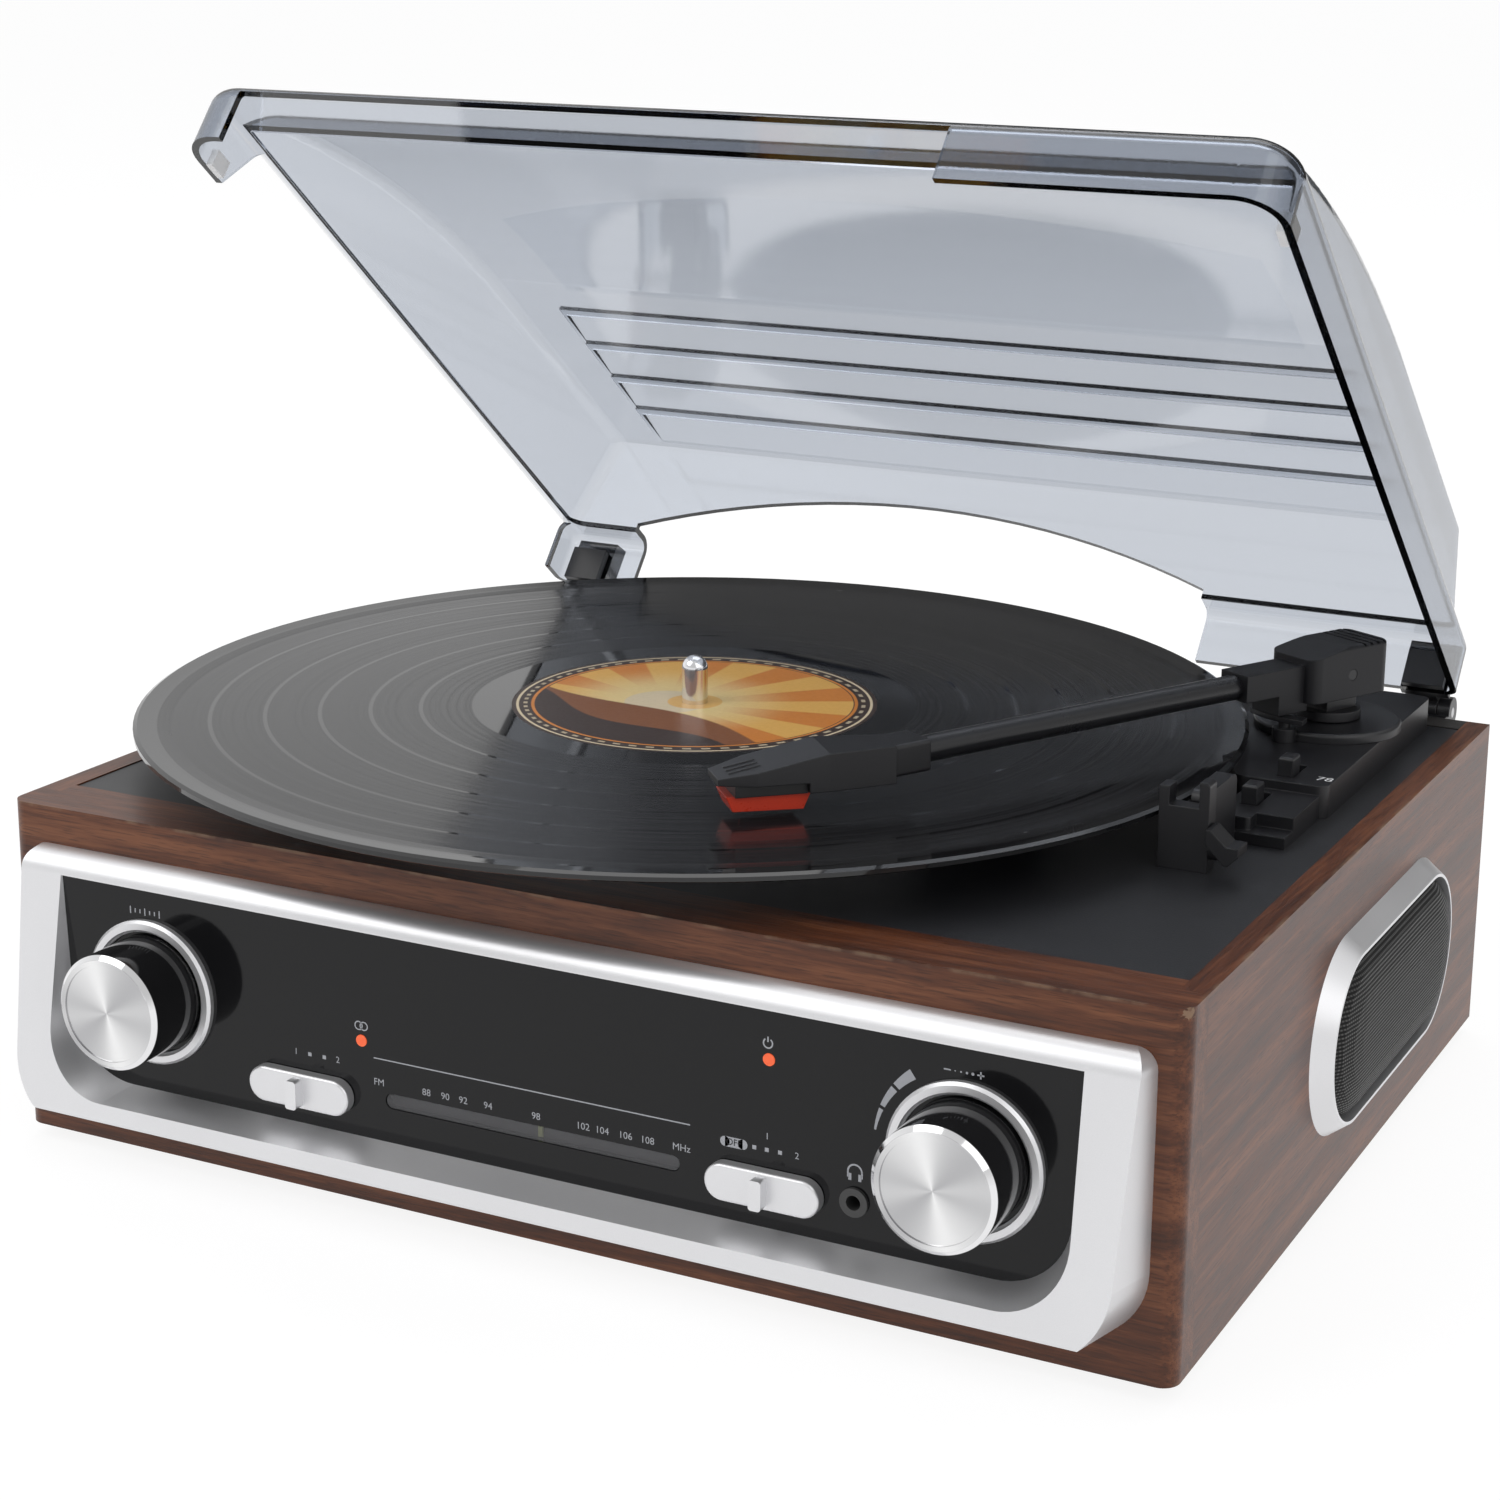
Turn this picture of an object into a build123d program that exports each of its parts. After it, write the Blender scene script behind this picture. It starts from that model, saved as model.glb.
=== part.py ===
import os
from math import atan, cos, degrees, radians, sin

from build123d import *

# A compact record player: veneered case, radio front, side loudspeakers and a smoky lid.
# Millimetres, +Z up, front towards -Y. The origin lies on the resting plane, under the
# centre of the case. At rest the lid is open and the stylus stands just above the record.

# Clearances
slip_gap = 0.3          # between neighbouring pieces that don't touch
running_gap = 0.05      # radial, for a shaft that turns in its hole
panel_gap = 0.2         # round the control panel in its bezel

# The record sets the arm's pivot beside it, and the pivot sets the case's right side
record_radius = 150.5
spindle_x = -28.2
spindle_y = -1.1
pivot_margin = 5.2
arm_side_margin = 32.5
pivot_x = spindle_x + record_radius + pivot_margin
pivot_y = 75.0

# Case
case_width = 2 * (pivot_x + arm_side_margin)
case_depth = 255.2
case_height = 88.8
foot_height = 4.0
foot_radius = 9.0
foot_inset_x = 20.0
foot_inset_y = 24.0
side_thickness = 6.6
front_thickness = 12.0
front_rebate = 6.0
rear_thickness = 9.0
front_edge_radius = 4.5
batten_width = 16.0
batten_height = 10.0
base_thickness = 3.0
deck_thickness = 3.0
deck_drop = 0.3
screw_radius = 1.5
screw_length = 12.0
screw_head_radius = 2.8
screw_head_height = 1.6
screw_recess = 1.2

# Bezel round the control panel
bezel_margin = 6.7
bezel_half_width = case_width / 2 - bezel_margin
bezel_bottom = 8.0
bezel_top = 79.0
bezel_top_corner = 5.0
bezel_bottom_corner = 19.0
bezel_brow = 6.5
bezel_brow_height = 73.3
bezel_chin = 16.5
bezel_chin_height = 13.0
bezel_side_draft = 0.25
bezel_edge_radius = 1.2

# Control panel
panel_depth = 6.0
panel_wall = 2.5
panel_rim = 2.0
panel_top = 73.6
panel_bottom = 20.3
panel_margin = 14.5
panel_taper = 2.4
panel_half_top = bezel_half_width - panel_margin
panel_half_bottom = panel_half_top - panel_taper
panel_corner = 18.0
scoop_side_draft = 0.35
scoop_floor_draft = 0.25
scoop_overrun = 2.0
window_margin = 4.0
post_radius = 3.0
post_place_x = 94.0
post_place_low = 30.0
post_place_high = 66.0

# Radio board behind the panel
board_thickness = 1.6
board_setback = 12.0
board_margin = 10.4
board_width = 2 * (panel_half_bottom - board_margin)
board_height = 44.0

# Knobs
knob_inset = 27.1
knob_place_x = panel_half_top - knob_inset
knob_height = 47.0
knob_radius = 15.0
knob_front = 24.3
knob_chamfer = 1.2
knob_dish = 0.3
collar_radius = 19.0
collar_thickness = 2.0
collar_groove = 1.0
collar_edge = 0.7
shaft_radius = 3.0
shaft_engagement = 10.0
control_size = 24.0
control_depth = 14.0
pot_radius = 10.0
pot_depth = 9.0

# Dial
dial_slot_length = 81.7
dial_slot_height = 4.0
dial_centre_x = -0.95
dial_height = 31.2
dial_plate_height = 13.0
dial_plate_thickness = 1.0
dial_spacer = 3.0
pointer_x = 0.4
pointer_width = 1.2
pointer_height = 8.0
pointer_thickness = 0.6

# Lamps, slide switches and headphone jack
lamp_radius = 1.5
lamp_proud = 0.2
stereo_lamp = (-48.4, 45.5)
power_lamp = (62.9, 61.7)
slide_length = 29.5
slide_height = 9.2
slide_thickness = 3.0
slide_edge = 0.8
slide_rib_width = 3.2
slide_rib_height = 7.4
slide_rib_proud = 3.0
slide_stem_width = 4.0
slide_stem_height = 6.0
slide_travel = 3.0
function_slide = (-65.7, 30.0)
power_slide = (62.5, 30.6)
switch_length = 18.0
switch_height = 8.0
jack_inset = 26.9
jack_place = (knob_place_x - jack_inset, 31.5)
jack_radius = 3.5
jack_barrel = 3.0
jack_bore = 1.8
jack_flange = 0.8
jack_depth = 12.0

# Side loudspeakers
speaker_centre_y = 22.5
speaker_height = 43.0
speaker_span = 65.0
ring_radius = 26.0
ring_mouth = 21.5
ring_proud = 5.0
ring_sleeve = 0.8
grille_wall = 1.2
grille_rise = 6.8
grille_seat = 0.6
driver_flange = 2.0
driver_mouth = 19.0
driver_throat = 8.0
driver_depth = 13.0
driver_wall = 1.0
magnet_radius = 17.0
magnet_depth = 11.0

# Platter, record and drive
spindle_radius = 3.55
spindle_rise = 12.5
spindle_depth = 28.0
record_thickness = 2.2
record_top = case_height + 13.6
record_bead = 5.0
record_web = 1.6
label_radius = 50.0
label_thickness = 0.3
hole_gap = 0.05
mat_thickness = 1.8
platter_radius = 100.0
mat_radius = platter_radius - 2.0
platter_top_thickness = 3.0
platter_skirt_wall = 3.5
platter_deck_gap = 2.0
platter_boss_radius = 9.0
drive_ring_inset = 25.0
drive_ring_radius = platter_radius - drive_ring_inset
drive_ring_wall = 3.0
bush_radius = 6.0
bush_flange_radius = 12.0
bush_flange = 2.5
bush_floor = 2.0
motor_distance = drive_ring_radius + 10.5
motor_bearing_angle = 135.0
pulley_radius = 6.0
pulley_lip = 0.8
belt_thickness = 0.7
belt_height = 3.4
motor_radius = 16.0
motor_height = 20.0
motor_shaft_radius = 1.0
motor_bush_depth = 6.0
bracket_size = 46.0
bracket_thickness = 2.0
bracket_drop = 6.0
bracket_post_radius = 3.0
bracket_post_place = 18.0
deck_hole_gap = 1.0

# Tone arm, measured along the arm (u), across it (w) and upwards
arm_angle = -117.5
arm_level = case_height + 24.6
plinth_top = case_height + 8.5
disc_radius = 20.0
disc_thickness = 2.8
disc_edge = 1.0
pivot_shaft_radius = 3.0
pivot_shaft_depth = 24.0
pivot_bush_radius = 7.0
fork_hub_radius = 9.0
fork_hub_height = 2.6
fork_length = 11.0
fork_width = 10.0
fork_top = case_height + 27.2
tilt_pin_radius = 1.5
housing_rear = 14.5
housing_front = 15.0
housing_half_width = 8.7
housing_bottom = case_height + 18.2
housing_top = case_height + 32.5
housing_slope_start = 1.0
housing_front_top = case_height + 30.2
housing_wall = 1.6
housing_corner = 3.5
housing_edge = 1.0
groove_count = 4
groove_pitch = 2.5
groove_width = 0.9
groove_depth = 0.6
nose_length = 21.0
nose_half_width = 5.0
nose_top = case_height + 28.5
nose_bottom = case_height + 21.2
nose_hook_length = 9.0
nose_hook_bottom = case_height + 15.7
tube_radius = 3.4
tube_bore = 2.8
tube_start = 28.0
tube_end = 150.0
collar_start = 143.0
head_start = 158.0
head_collar_width = 10.6
head_collar_height = 8.2
head_collar_corner = 1.0
head_turn = 20.0
head_length = 39.0
head_rear_half = 5.5
head_half_width = 8.0
head_front_half = 5.0
head_shoulder = 12.0
head_cheek = 30.0
head_bottom = case_height + 22.2
head_top = case_height + 29.2
head_front_top = case_height + 23.8
head_heel_bottom = case_height + 19.7
cartridge_start = 17.0
cartridge_length = 18.0
cartridge_half_width = 6.0
cartridge_bottom = case_height + 19.2
stylus_start = 16.0
stylus_length = 21.0
stylus_half_width = 5.0
stylus_bottom = case_height + 15.1
stylus_front_rise = 0.4
stylus_front_rake = 1.6
stylus_rear_rake = 1.8
needle_place = 32.5
needle_radius = 0.5

# Arm plinth and its two selectors
plinth_left = pivot_x - 23.5
plinth_right = pivot_x + 17.5
plinth_back = 118.0
plinth_waist_y = 52.0
console_front = 17.5
console_left = pivot_x - 6.5
console_corner = 3.0
step_top = case_height + 6.0
step_front = -4.0
step_left = pivot_x - 3.5
step_right = pivot_x + 15.7
tongue_front = -9.0
tongue_right = pivot_x + 6.0
ledge_front = -11.0
ledge_top = case_height + 2.7
selector_width = 4.0
selector_length = 6.0
selector_proud = 5.0
selector_travel = 6.0
selector_slot_depth = 4.0
speed_place = (pivot_x + 5.0, 25.0)
stop_place = (pivot_x + 2.0, 5.0)

# Arm rest and cue lever
rest_margin = 2.7
rest_left = spindle_x + record_radius - rest_margin
rest_width = 12.8
rest_front = -38.0
rest_depth = 5.0
rest_inner_prong = case_height + 20.5
rest_outer_prong = case_height + 22.4
rest_saddle = case_height + 15.8
rest_bridge = case_height + 10.2
rest_corner = 1.2
saddle_width = 7.6
cue_wall_left = rest_left + 6.0
cue_wall_width = 4.8
cue_wall_slot = 1.0
cue_wall_top = case_height + 18.2
cue_wall_corner = 2.5
cue_axis_y = -36.0
cue_axis_height = case_height + 6.4
cue_pin_radius = 1.2
lever_hub_radius = 3.4
lever_hub_width = 2.6
lever_front = -41.0
lever_depth = 7.0
lever_outer = rest_left + 21.4
lever_top = case_height + 11.8
lever_bottom = case_height + 2.8
lever_lip = case_height + 8.1
lever_knee = rest_left + 18.4
lever_wall = 2.2
lifter_angle = 12.0
lifter_sweep_low = -18.0
lifter_sweep_high = 28.0
lifter_inner = 19.5
lifter_outer = 23.5
lifter_thickness = 1.4
lifter_stem_radius = 1.5
lifter_guide_radius = 3.2
lifter_guide_height = 3.8

# Lid, drawn closed and then opened about its hinge
lid_margin = 10.0
lid_half_width = case_width / 2 - lid_margin
lid_front_margin = 6.1
lid_back_margin = 1.1
lid_front = lid_front_margin - case_depth / 2
lid_back = case_depth / 2 - lid_back_margin
lid_rim_gap = 0.5
lid_wall = 2.0
lid_corner = 12.0
lid_rear_corner = 4.0
skirt_height = 18.0
ledge_radius = 5.0
crown_front = lid_front + 18.5
crown_brow = lid_front + 23.5
crown_brow_rise = 25.0
crown_mid_y = -45.0
crown_mid_rise = 41.0
crown_back_start = 17.0
crown_back_rise = 49.0
crown_rear = lid_back - 8.5
crown_rear_rise = 50.5
crown_foot = lid_back - 9.5
crown_base_inset = 3.0
crown_top_inset = 8.5
crown_half_base = lid_half_width - crown_base_inset
crown_half_top = lid_half_width - crown_top_inset
crown_edge = 5.0
louvre_count = 4
louvre_first = 33.0
louvre_pitch = 20.0
louvre_inset = 26.0
louvre_half_length = lid_half_width - louvre_inset
louvre_rise = 1.3
side_cut_front = -91.0
side_cut_foot = -101.0
side_cut_back = 115.0
side_cut_rise = 16.2
front_cut_left = -136.0
front_cut_right = 66.5
front_cut_rise = 15.0
arch_left = -122.0
arch_right = 71.0
arch_spring = 19.0
arch_crown_x = -27.0
arch_crown = 36.5
lid_open_angle = 39.7
bumper_length = 6.0
bumper_height = 5.0
bumper_thickness = 2.0
bumper_reach = 0.2
bumper_y = -105.5

# Hinges
hinge_overhang = 8.8
hinge_y = case_depth / 2 + hinge_overhang
hinge_height = case_height - 0.4
hinge_inset = 10.0
hinge_centre_x = lid_half_width - hinge_inset
hinge_width = 14.0
knuckle_radius = 4.5
knuckle_ear = 3.6
hinge_pin_radius = 1.5
hinge_plate = 2.5
hinge_plate_height = 26.0
leaf_plate = 2.5
leaf_height = 16.0
leaf_block_depth = 6.5
leaf_block_foot = 4.6

# Inside the case
amp_width = 90.0
amp_length = 60.0
amp_x = -10.0
amp_y = 40.0
amp_post_height = 5.0
amp_post_radius = 3.0
amp_post_inset = 6.0
chip_height = 14.0
inlet_x = 60.0
inlet_height = 40.0
inlet_width = 12.0
inlet_depth = 16.0
inlet_bore = 3.2
inlet_pin_radius = 1.0

# Levels and edges that follow from the sizes above
case_bottom = foot_height
case_top = case_bottom + case_height
deck_top = case_top - deck_drop
deck_under = deck_top - deck_thickness
half_depth = case_depth / 2
half_width = case_width / 2
inner_half = half_width - side_thickness
inner_front = -half_depth + front_thickness + front_rebate
inner_back = half_depth - rear_thickness
pivot_level = case_bottom + arm_level
rim_level = case_top + lid_rim_gap
hinge_level = case_bottom + hinge_height


def above(height):
    """A level above the case's underside."""
    return case_bottom + height


def level(height):
    """A flat plane at a height above the resting plane."""
    return Plane.XY.offset(height)


def front(stand_off):
    """A plane facing forwards, in front of the case's front by stand_off."""
    return Plane.XZ.offset(half_depth + stand_off)


def side(x):
    """A plane facing right, whose own axes are Y and Z."""
    return Plane.YZ.offset(x)


def polar(distance, angle):
    """A point on the ground plane, from an angle in degrees."""
    return (distance * cos(radians(angle)), distance * sin(radians(angle)))


arm_ahead = Vector(*polar(1, arm_angle), 0)
arm_across = Vector(*polar(1, arm_angle + 90), 0)
head_ahead = Vector(*polar(1, arm_angle - head_turn), 0)
head_across = Vector(*polar(1, arm_angle - head_turn + 90), 0)
pivot = Vector(pivot_x, pivot_y, 0)
head_origin = pivot + arm_ahead * head_start


def arm_level_plane(height):
    """A flat plane over the pivot, x along the arm."""
    return Plane(origin=pivot + Vector(0, 0, height), x_dir=arm_ahead, z_dir=(0, 0, 1))


def arm_side_plane(across=0):
    """An upright plane along the arm: x along the arm, y upwards."""
    return Plane(origin=pivot + arm_across * across, x_dir=arm_ahead, z_dir=-arm_across)


def arm_section_plane(along):
    """An upright plane across the arm: x across it, y upwards."""
    return Plane(origin=pivot + arm_ahead * along, x_dir=arm_across, z_dir=arm_ahead)


def head_level_plane(height):
    """A flat plane over the headshell's root, x along the headshell."""
    return Plane(origin=head_origin + Vector(0, 0, height), x_dir=head_ahead, z_dir=(0, 0, 1))


def head_side_plane():
    """An upright plane along the headshell."""
    return Plane(origin=head_origin, x_dir=head_ahead, z_dir=-head_across)


def save(piece, name):
    """Name a finished piece and write it."""
    piece.part.label = name
    export_step(piece.part, f"parts/{name}.step")


os.makedirs("parts", exist_ok=True)

# Front board: 12 mm over the whole width, with a thicker tongue between the side boards
window_half = panel_half_bottom - panel_rim - window_margin
window_low = panel_bottom + window_margin
window_high = panel_top - window_margin
with BuildPart() as front_board:
    with BuildSketch(level(case_bottom)) as plan:
        with Locations((0, -half_depth)):
            Rectangle(case_width, front_thickness, align=(Align.CENTER, Align.MIN))
        fillet(plan.vertices().group_by(Axis.Y)[0], front_edge_radius)
        with Locations((0, -half_depth + front_thickness)):
            Rectangle(2 * inner_half, front_rebate, align=(Align.CENTER, Align.MIN))
    extrude(amount=case_height)
    with BuildSketch(front(0)):
        with Locations((0, above((window_low + window_high) / 2))):
            Rectangle(2 * window_half, window_high - window_low)
    extrude(amount=-(front_thickness + front_rebate), mode=Mode.SUBTRACT)
save(front_board, "front_board")

# Side boards, each with a batten for the base and one for the deck
speaker_hole = ring_mouth + ring_sleeve + slip_gap
board_front = -half_depth + front_thickness
with BuildPart() as right_board:
    with BuildSketch(level(case_bottom)):
        with Locations((half_width, board_front)):
            Rectangle(side_thickness, half_depth - board_front, align=(Align.MAX, Align.MIN))
    extrude(amount=case_height)
    with BuildSketch(Plane.XZ.offset(-inner_front)):
        with Locations((inner_half, above(base_thickness))):
            Rectangle(batten_width, batten_height, align=(Align.MAX, Align.MIN))
        with Locations((inner_half, deck_under)):
            Rectangle(batten_width, batten_height, align=(Align.MAX, Align.MAX))
    extrude(amount=inner_front - inner_back)
    with BuildSketch(side(half_width)):
        with Locations((speaker_centre_y, above(speaker_height))):
            SlotCenterToCenter(speaker_span, 2 * speaker_hole)
    extrude(amount=-side_thickness, mode=Mode.SUBTRACT)
    with BuildSketch(level(above(base_thickness))):
        with Locations((half_width - foot_inset_x, half_depth - foot_inset_y),
                       (half_width - foot_inset_x, foot_inset_y - half_depth)):
            Circle(screw_radius + running_gap)
    extrude(amount=batten_height, mode=Mode.SUBTRACT)
save(right_board, "right_board")

with BuildPart() as left_board:
    mirror(right_board.part, about=Plane.YZ)
save(left_board, "left_board")

with BuildPart() as rear_board:
    with BuildSketch(level(case_bottom)):
        with Locations((0, half_depth)):
            Rectangle(2 * inner_half, rear_thickness, align=(Align.CENTER, Align.MAX))
    extrude(amount=case_height)
    with BuildSketch(Plane.XZ.offset(-half_depth)):
        with Locations((inlet_x, above(inlet_height))):
            Rectangle(inlet_width + 2 * panel_gap, inlet_width + 2 * panel_gap)
    extrude(amount=rear_thickness, mode=Mode.SUBTRACT)
save(rear_board, "rear_board")

# Base plate between the boards, with posts for the amplifier board
foot_places = GridLocations(2 * (half_width - foot_inset_x), 2 * (half_depth - foot_inset_y), 2, 2)
amp_posts = GridLocations(amp_width - 2 * amp_post_inset, amp_length - 2 * amp_post_inset, 2, 2)
with BuildPart() as base_plate:
    with BuildSketch(level(case_bottom)):
        with Locations((0, (inner_front + inner_back) / 2)):
            Rectangle(2 * (inner_half - panel_gap), inner_back - inner_front - 2 * panel_gap)
    extrude(amount=base_thickness)
    with BuildSketch(level(above(base_thickness))):
        with Locations((amp_x, amp_y)):
            with amp_posts:
                Circle(amp_post_radius)
    extrude(amount=amp_post_height)
    with BuildSketch(level(case_bottom)):
        with foot_places:
            Circle(screw_radius + running_gap)
    extrude(amount=base_thickness, mode=Mode.SUBTRACT)
save(base_plate, "base_plate")

with BuildPart() as rubber_feet:
    with BuildSketch(level(0)):
        with foot_places:
            Circle(foot_radius)
    extrude(amount=foot_height)
    with BuildSketch(level(0)):
        with foot_places:
            Circle(screw_head_radius + slip_gap)
    extrude(amount=screw_recess + screw_head_height, mode=Mode.SUBTRACT)
    with BuildSketch(level(0)):
        with foot_places:
            Circle(screw_radius + running_gap)
    extrude(amount=foot_height, mode=Mode.SUBTRACT)
save(rubber_feet, "rubber_feet")

with BuildPart() as case_screws:
    with BuildSketch(level(screw_recess)):
        with foot_places:
            Circle(screw_head_radius)
    extrude(amount=screw_head_height)
    with BuildSketch(level(screw_recess)):
        with foot_places:
            Circle(screw_radius)
    extrude(amount=screw_length)
save(case_screws, "case_screws")

# Deck on its battens, with holes for the bearing, the motor shaft and the arm bush
motor_offset = polar(motor_distance, motor_bearing_angle)
motor_x = spindle_x + motor_offset[0]
motor_y = spindle_y + motor_offset[1]
with BuildPart() as deck_plate:
    with BuildSketch(level(deck_under)):
        with Locations((0, (inner_front + inner_back) / 2)):
            Rectangle(2 * (inner_half - panel_gap), inner_back - inner_front - 2 * panel_gap)
        with Locations((spindle_x, spindle_y)):
            Circle(bush_radius + hole_gap, mode=Mode.SUBTRACT)
        with Locations((motor_x, motor_y)):
            Circle(motor_shaft_radius + deck_hole_gap, mode=Mode.SUBTRACT)
        with Locations((pivot_x, pivot_y)):
            Circle(pivot_bush_radius + hole_gap, mode=Mode.SUBTRACT)
    extrude(amount=deck_thickness)
save(deck_plate, "deck_plate")


def bezel_outline(stand_off, half):
    """The bezel's outline on a forward plane, with its four rounded corners."""
    with BuildSketch(front(stand_off)) as outline:
        with Locations((0, above((bezel_bottom + bezel_top) / 2))):
            Rectangle(2 * half, bezel_top - bezel_bottom)
        fillet(outline.vertices().group_by(Axis.Y)[-1], bezel_top_corner)
        fillet(outline.vertices().group_by(Axis.Y)[0], bezel_bottom_corner)
    return outline.sketch


def panel_outline(stand_off, grow, sink=0.0, lift=0.0):
    """The panel's outline, made wider by grow and deeper by sink."""
    with BuildSketch(front(stand_off)) as outline:
        with BuildLine():
            Polyline(
                (-panel_half_top - grow, above(panel_top + lift)),
                (-panel_half_bottom - grow, above(panel_bottom - sink)),
                (panel_half_bottom + grow, above(panel_bottom - sink)),
                (panel_half_top + grow, above(panel_top + lift)),
                close=True,
            )
        make_face()
        fillet(outline.vertices().group_by(Axis.Y)[0], panel_corner)
    return outline.sketch


# Bezel: a deep frame whose face leans forwards at the foot, round a scooped opening
scoop_front = bezel_chin + scoop_overrun
scoop_reach = scoop_front - panel_depth
with BuildPart() as front_bezel:
    bezel_root = bezel_outline(0, bezel_half_width)
    bezel_tip = bezel_outline(scoop_front, bezel_half_width - bezel_side_draft * scoop_front)
    loft([bezel_root, bezel_tip], ruled=True)
    with BuildSketch(side(0)) as profile:
        with BuildLine():
            foot = (-half_depth, above(bezel_bottom))
            chin = (-half_depth - bezel_chin, above(bezel_chin_height))
            brow = (-half_depth - bezel_brow, above(bezel_brow_height))
            head = (-half_depth, above(bezel_top))
            Polyline(head, foot, chin, brow)
            ThreePointArc(
                brow,
                (-half_depth - 0.8 * bezel_brow,
                 above(bezel_brow_height + 0.55 * (bezel_top - bezel_brow_height))),
                head,
            )
        make_face()
    extrude(amount=bezel_half_width, both=True, mode=Mode.INTERSECT)
    fillet(front_bezel.edges().filter_by(Axis.X).group_by(Axis.Y)[0], bezel_edge_radius)
    mouth = panel_outline(panel_depth, 0)
    flare = panel_outline(scoop_front, scoop_side_draft * scoop_reach, scoop_floor_draft * scoop_reach)
    loft([mouth, flare], ruled=True, mode=Mode.SUBTRACT)
    extrude(panel_outline(0, panel_gap, panel_gap, panel_gap), amount=panel_depth, mode=Mode.SUBTRACT)
save(front_bezel, "front_bezel")

# Control panel: a shallow tray whose rim stands on the front board
post_places = [
    (side_sign * post_place_x, above(height))
    for side_sign in (-1, 1)
    for height in (post_place_low, post_place_high)
]
board_front_off = panel_depth - board_setback
knob_places = [(-knob_place_x, above(knob_height)), (knob_place_x, above(knob_height))]
lamp_places = [(x, above(height)) for x, height in (stereo_lamp, power_lamp)]
slide_places = [(x, above(height)) for x, height in (function_slide, power_slide)]
jack_x, jack_height = jack_place
panel_back_off = panel_depth - panel_wall
with BuildPart() as control_panel:
    extrude(panel_outline(0, 0), amount=panel_depth)
    extrude(panel_outline(0, -panel_rim, -panel_rim, -panel_rim), amount=panel_back_off,
            mode=Mode.SUBTRACT)
    with BuildSketch(front(panel_back_off)):
        with Locations(*post_places):
            Circle(post_radius)
    extrude(amount=-(panel_back_off - board_front_off))
    with BuildSketch(front(panel_depth)):
        with Locations(*knob_places):
            Circle(shaft_radius + deck_hole_gap)
        with Locations(*lamp_places):
            Circle(lamp_radius + running_gap)
        with Locations((jack_x, above(jack_height))):
            Circle(jack_barrel + running_gap)
        with Locations((dial_centre_x, above(dial_height))):
            SlotOverall(dial_slot_length, dial_slot_height)
        for x, height in slide_places:
            with Locations((x + slide_travel / 2, height)):
                Rectangle(slide_stem_width + slide_travel + 2 * slip_gap,
                          slide_stem_height + 2 * slip_gap)
    extrude(amount=-panel_wall, mode=Mode.SUBTRACT)
save(control_panel, "control_panel")

# Radio board on the panel's posts
with BuildPart() as radio_board:
    with BuildSketch(front(board_front_off)):
        with Locations((0, above((window_low + window_high) / 2))):
            Rectangle(board_width, board_height)
        with Locations(*knob_places):
            Circle(shaft_radius + deck_hole_gap, mode=Mode.SUBTRACT)
    extrude(amount=-board_thickness)
save(radio_board, "radio_board")

board_back_off = board_front_off - board_thickness
with BuildPart() as tuning_capacitor:
    with BuildSketch(front(board_back_off)):
        with Locations(knob_places[0]):
            Rectangle(control_size, control_size)
    extrude(amount=-control_depth)
    with BuildSketch(front(board_back_off)):
        with Locations(knob_places[0]):
            Circle(shaft_radius + running_gap)
    extrude(amount=-shaft_engagement, mode=Mode.SUBTRACT)
save(tuning_capacitor, "tuning_capacitor")

with BuildPart() as volume_potentiometer:
    with BuildSketch(front(board_back_off)):
        with Locations(knob_places[1]):
            Circle(pot_radius)
    extrude(amount=-(shaft_engagement + pot_depth))
    with BuildSketch(front(board_back_off)):
        with Locations(knob_places[1]):
            Circle(shaft_radius + running_gap)
    extrude(amount=-shaft_engagement, mode=Mode.SUBTRACT)
save(volume_potentiometer, "volume_potentiometer")

with BuildPart() as slide_switches:
    with BuildSketch(front(board_front_off)):
        for x, height in slide_places:
            with Locations((x + slide_travel / 2, height)):
                Rectangle(switch_length, switch_height)
    extrude(amount=board_setback - panel_wall - slide_edge)
save(slide_switches, "slide_switches")


def knob(place):
    """A knob with a bore for its shaft and a shallow dish in its face."""
    knob_base = panel_depth + collar_edge
    with BuildPart() as turned:
        with BuildSketch(front(knob_base)):
            with Locations(place):
                Circle(knob_radius)
        extrude(amount=knob_front - knob_base)
        chamfer(turned.faces().sort_by(Axis.Y)[0].edges(), knob_chamfer)
        with BuildSketch(front(knob_front)):
            with Locations(place):
                Circle(knob_radius - 2 * knob_chamfer)
        extrude(amount=-knob_dish, mode=Mode.SUBTRACT)
        with BuildSketch(front(knob_base)):
            with Locations(place):
                Circle(shaft_radius + running_gap)
        extrude(amount=shaft_engagement, mode=Mode.SUBTRACT)
    return turned


def knob_shaft(place):
    """The shaft from the knob's bore back into the control behind the board."""
    tip = panel_depth + collar_edge + shaft_engagement - slip_gap
    tail = board_back_off - shaft_engagement + slip_gap
    with BuildPart() as turned:
        with BuildSketch(front(tail)):
            with Locations(place):
                Circle(shaft_radius)
        extrude(amount=tip - tail)
    return turned


tuning_knob = knob(knob_places[0])
save(tuning_knob, "tuning_knob")
volume_knob = knob(knob_places[1])
save(volume_knob, "volume_knob")
tuning_shaft = knob_shaft(knob_places[0])
save(tuning_shaft, "tuning_shaft")
volume_shaft = knob_shaft(knob_places[1])
save(volume_shaft, "volume_shaft")

with BuildPart() as knob_collars:
    with BuildSketch(front(panel_depth)):
        with Locations(*knob_places):
            Circle(collar_radius)
            Circle(knob_radius + collar_groove, mode=Mode.SUBTRACT)
    extrude(amount=collar_thickness)
    collar_faces = knob_collars.faces().filter_by(Axis.Y).group_by(Axis.Y)[0]
    chamfer(collar_faces.edges(), collar_edge)
save(knob_collars, "knob_collars")

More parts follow.
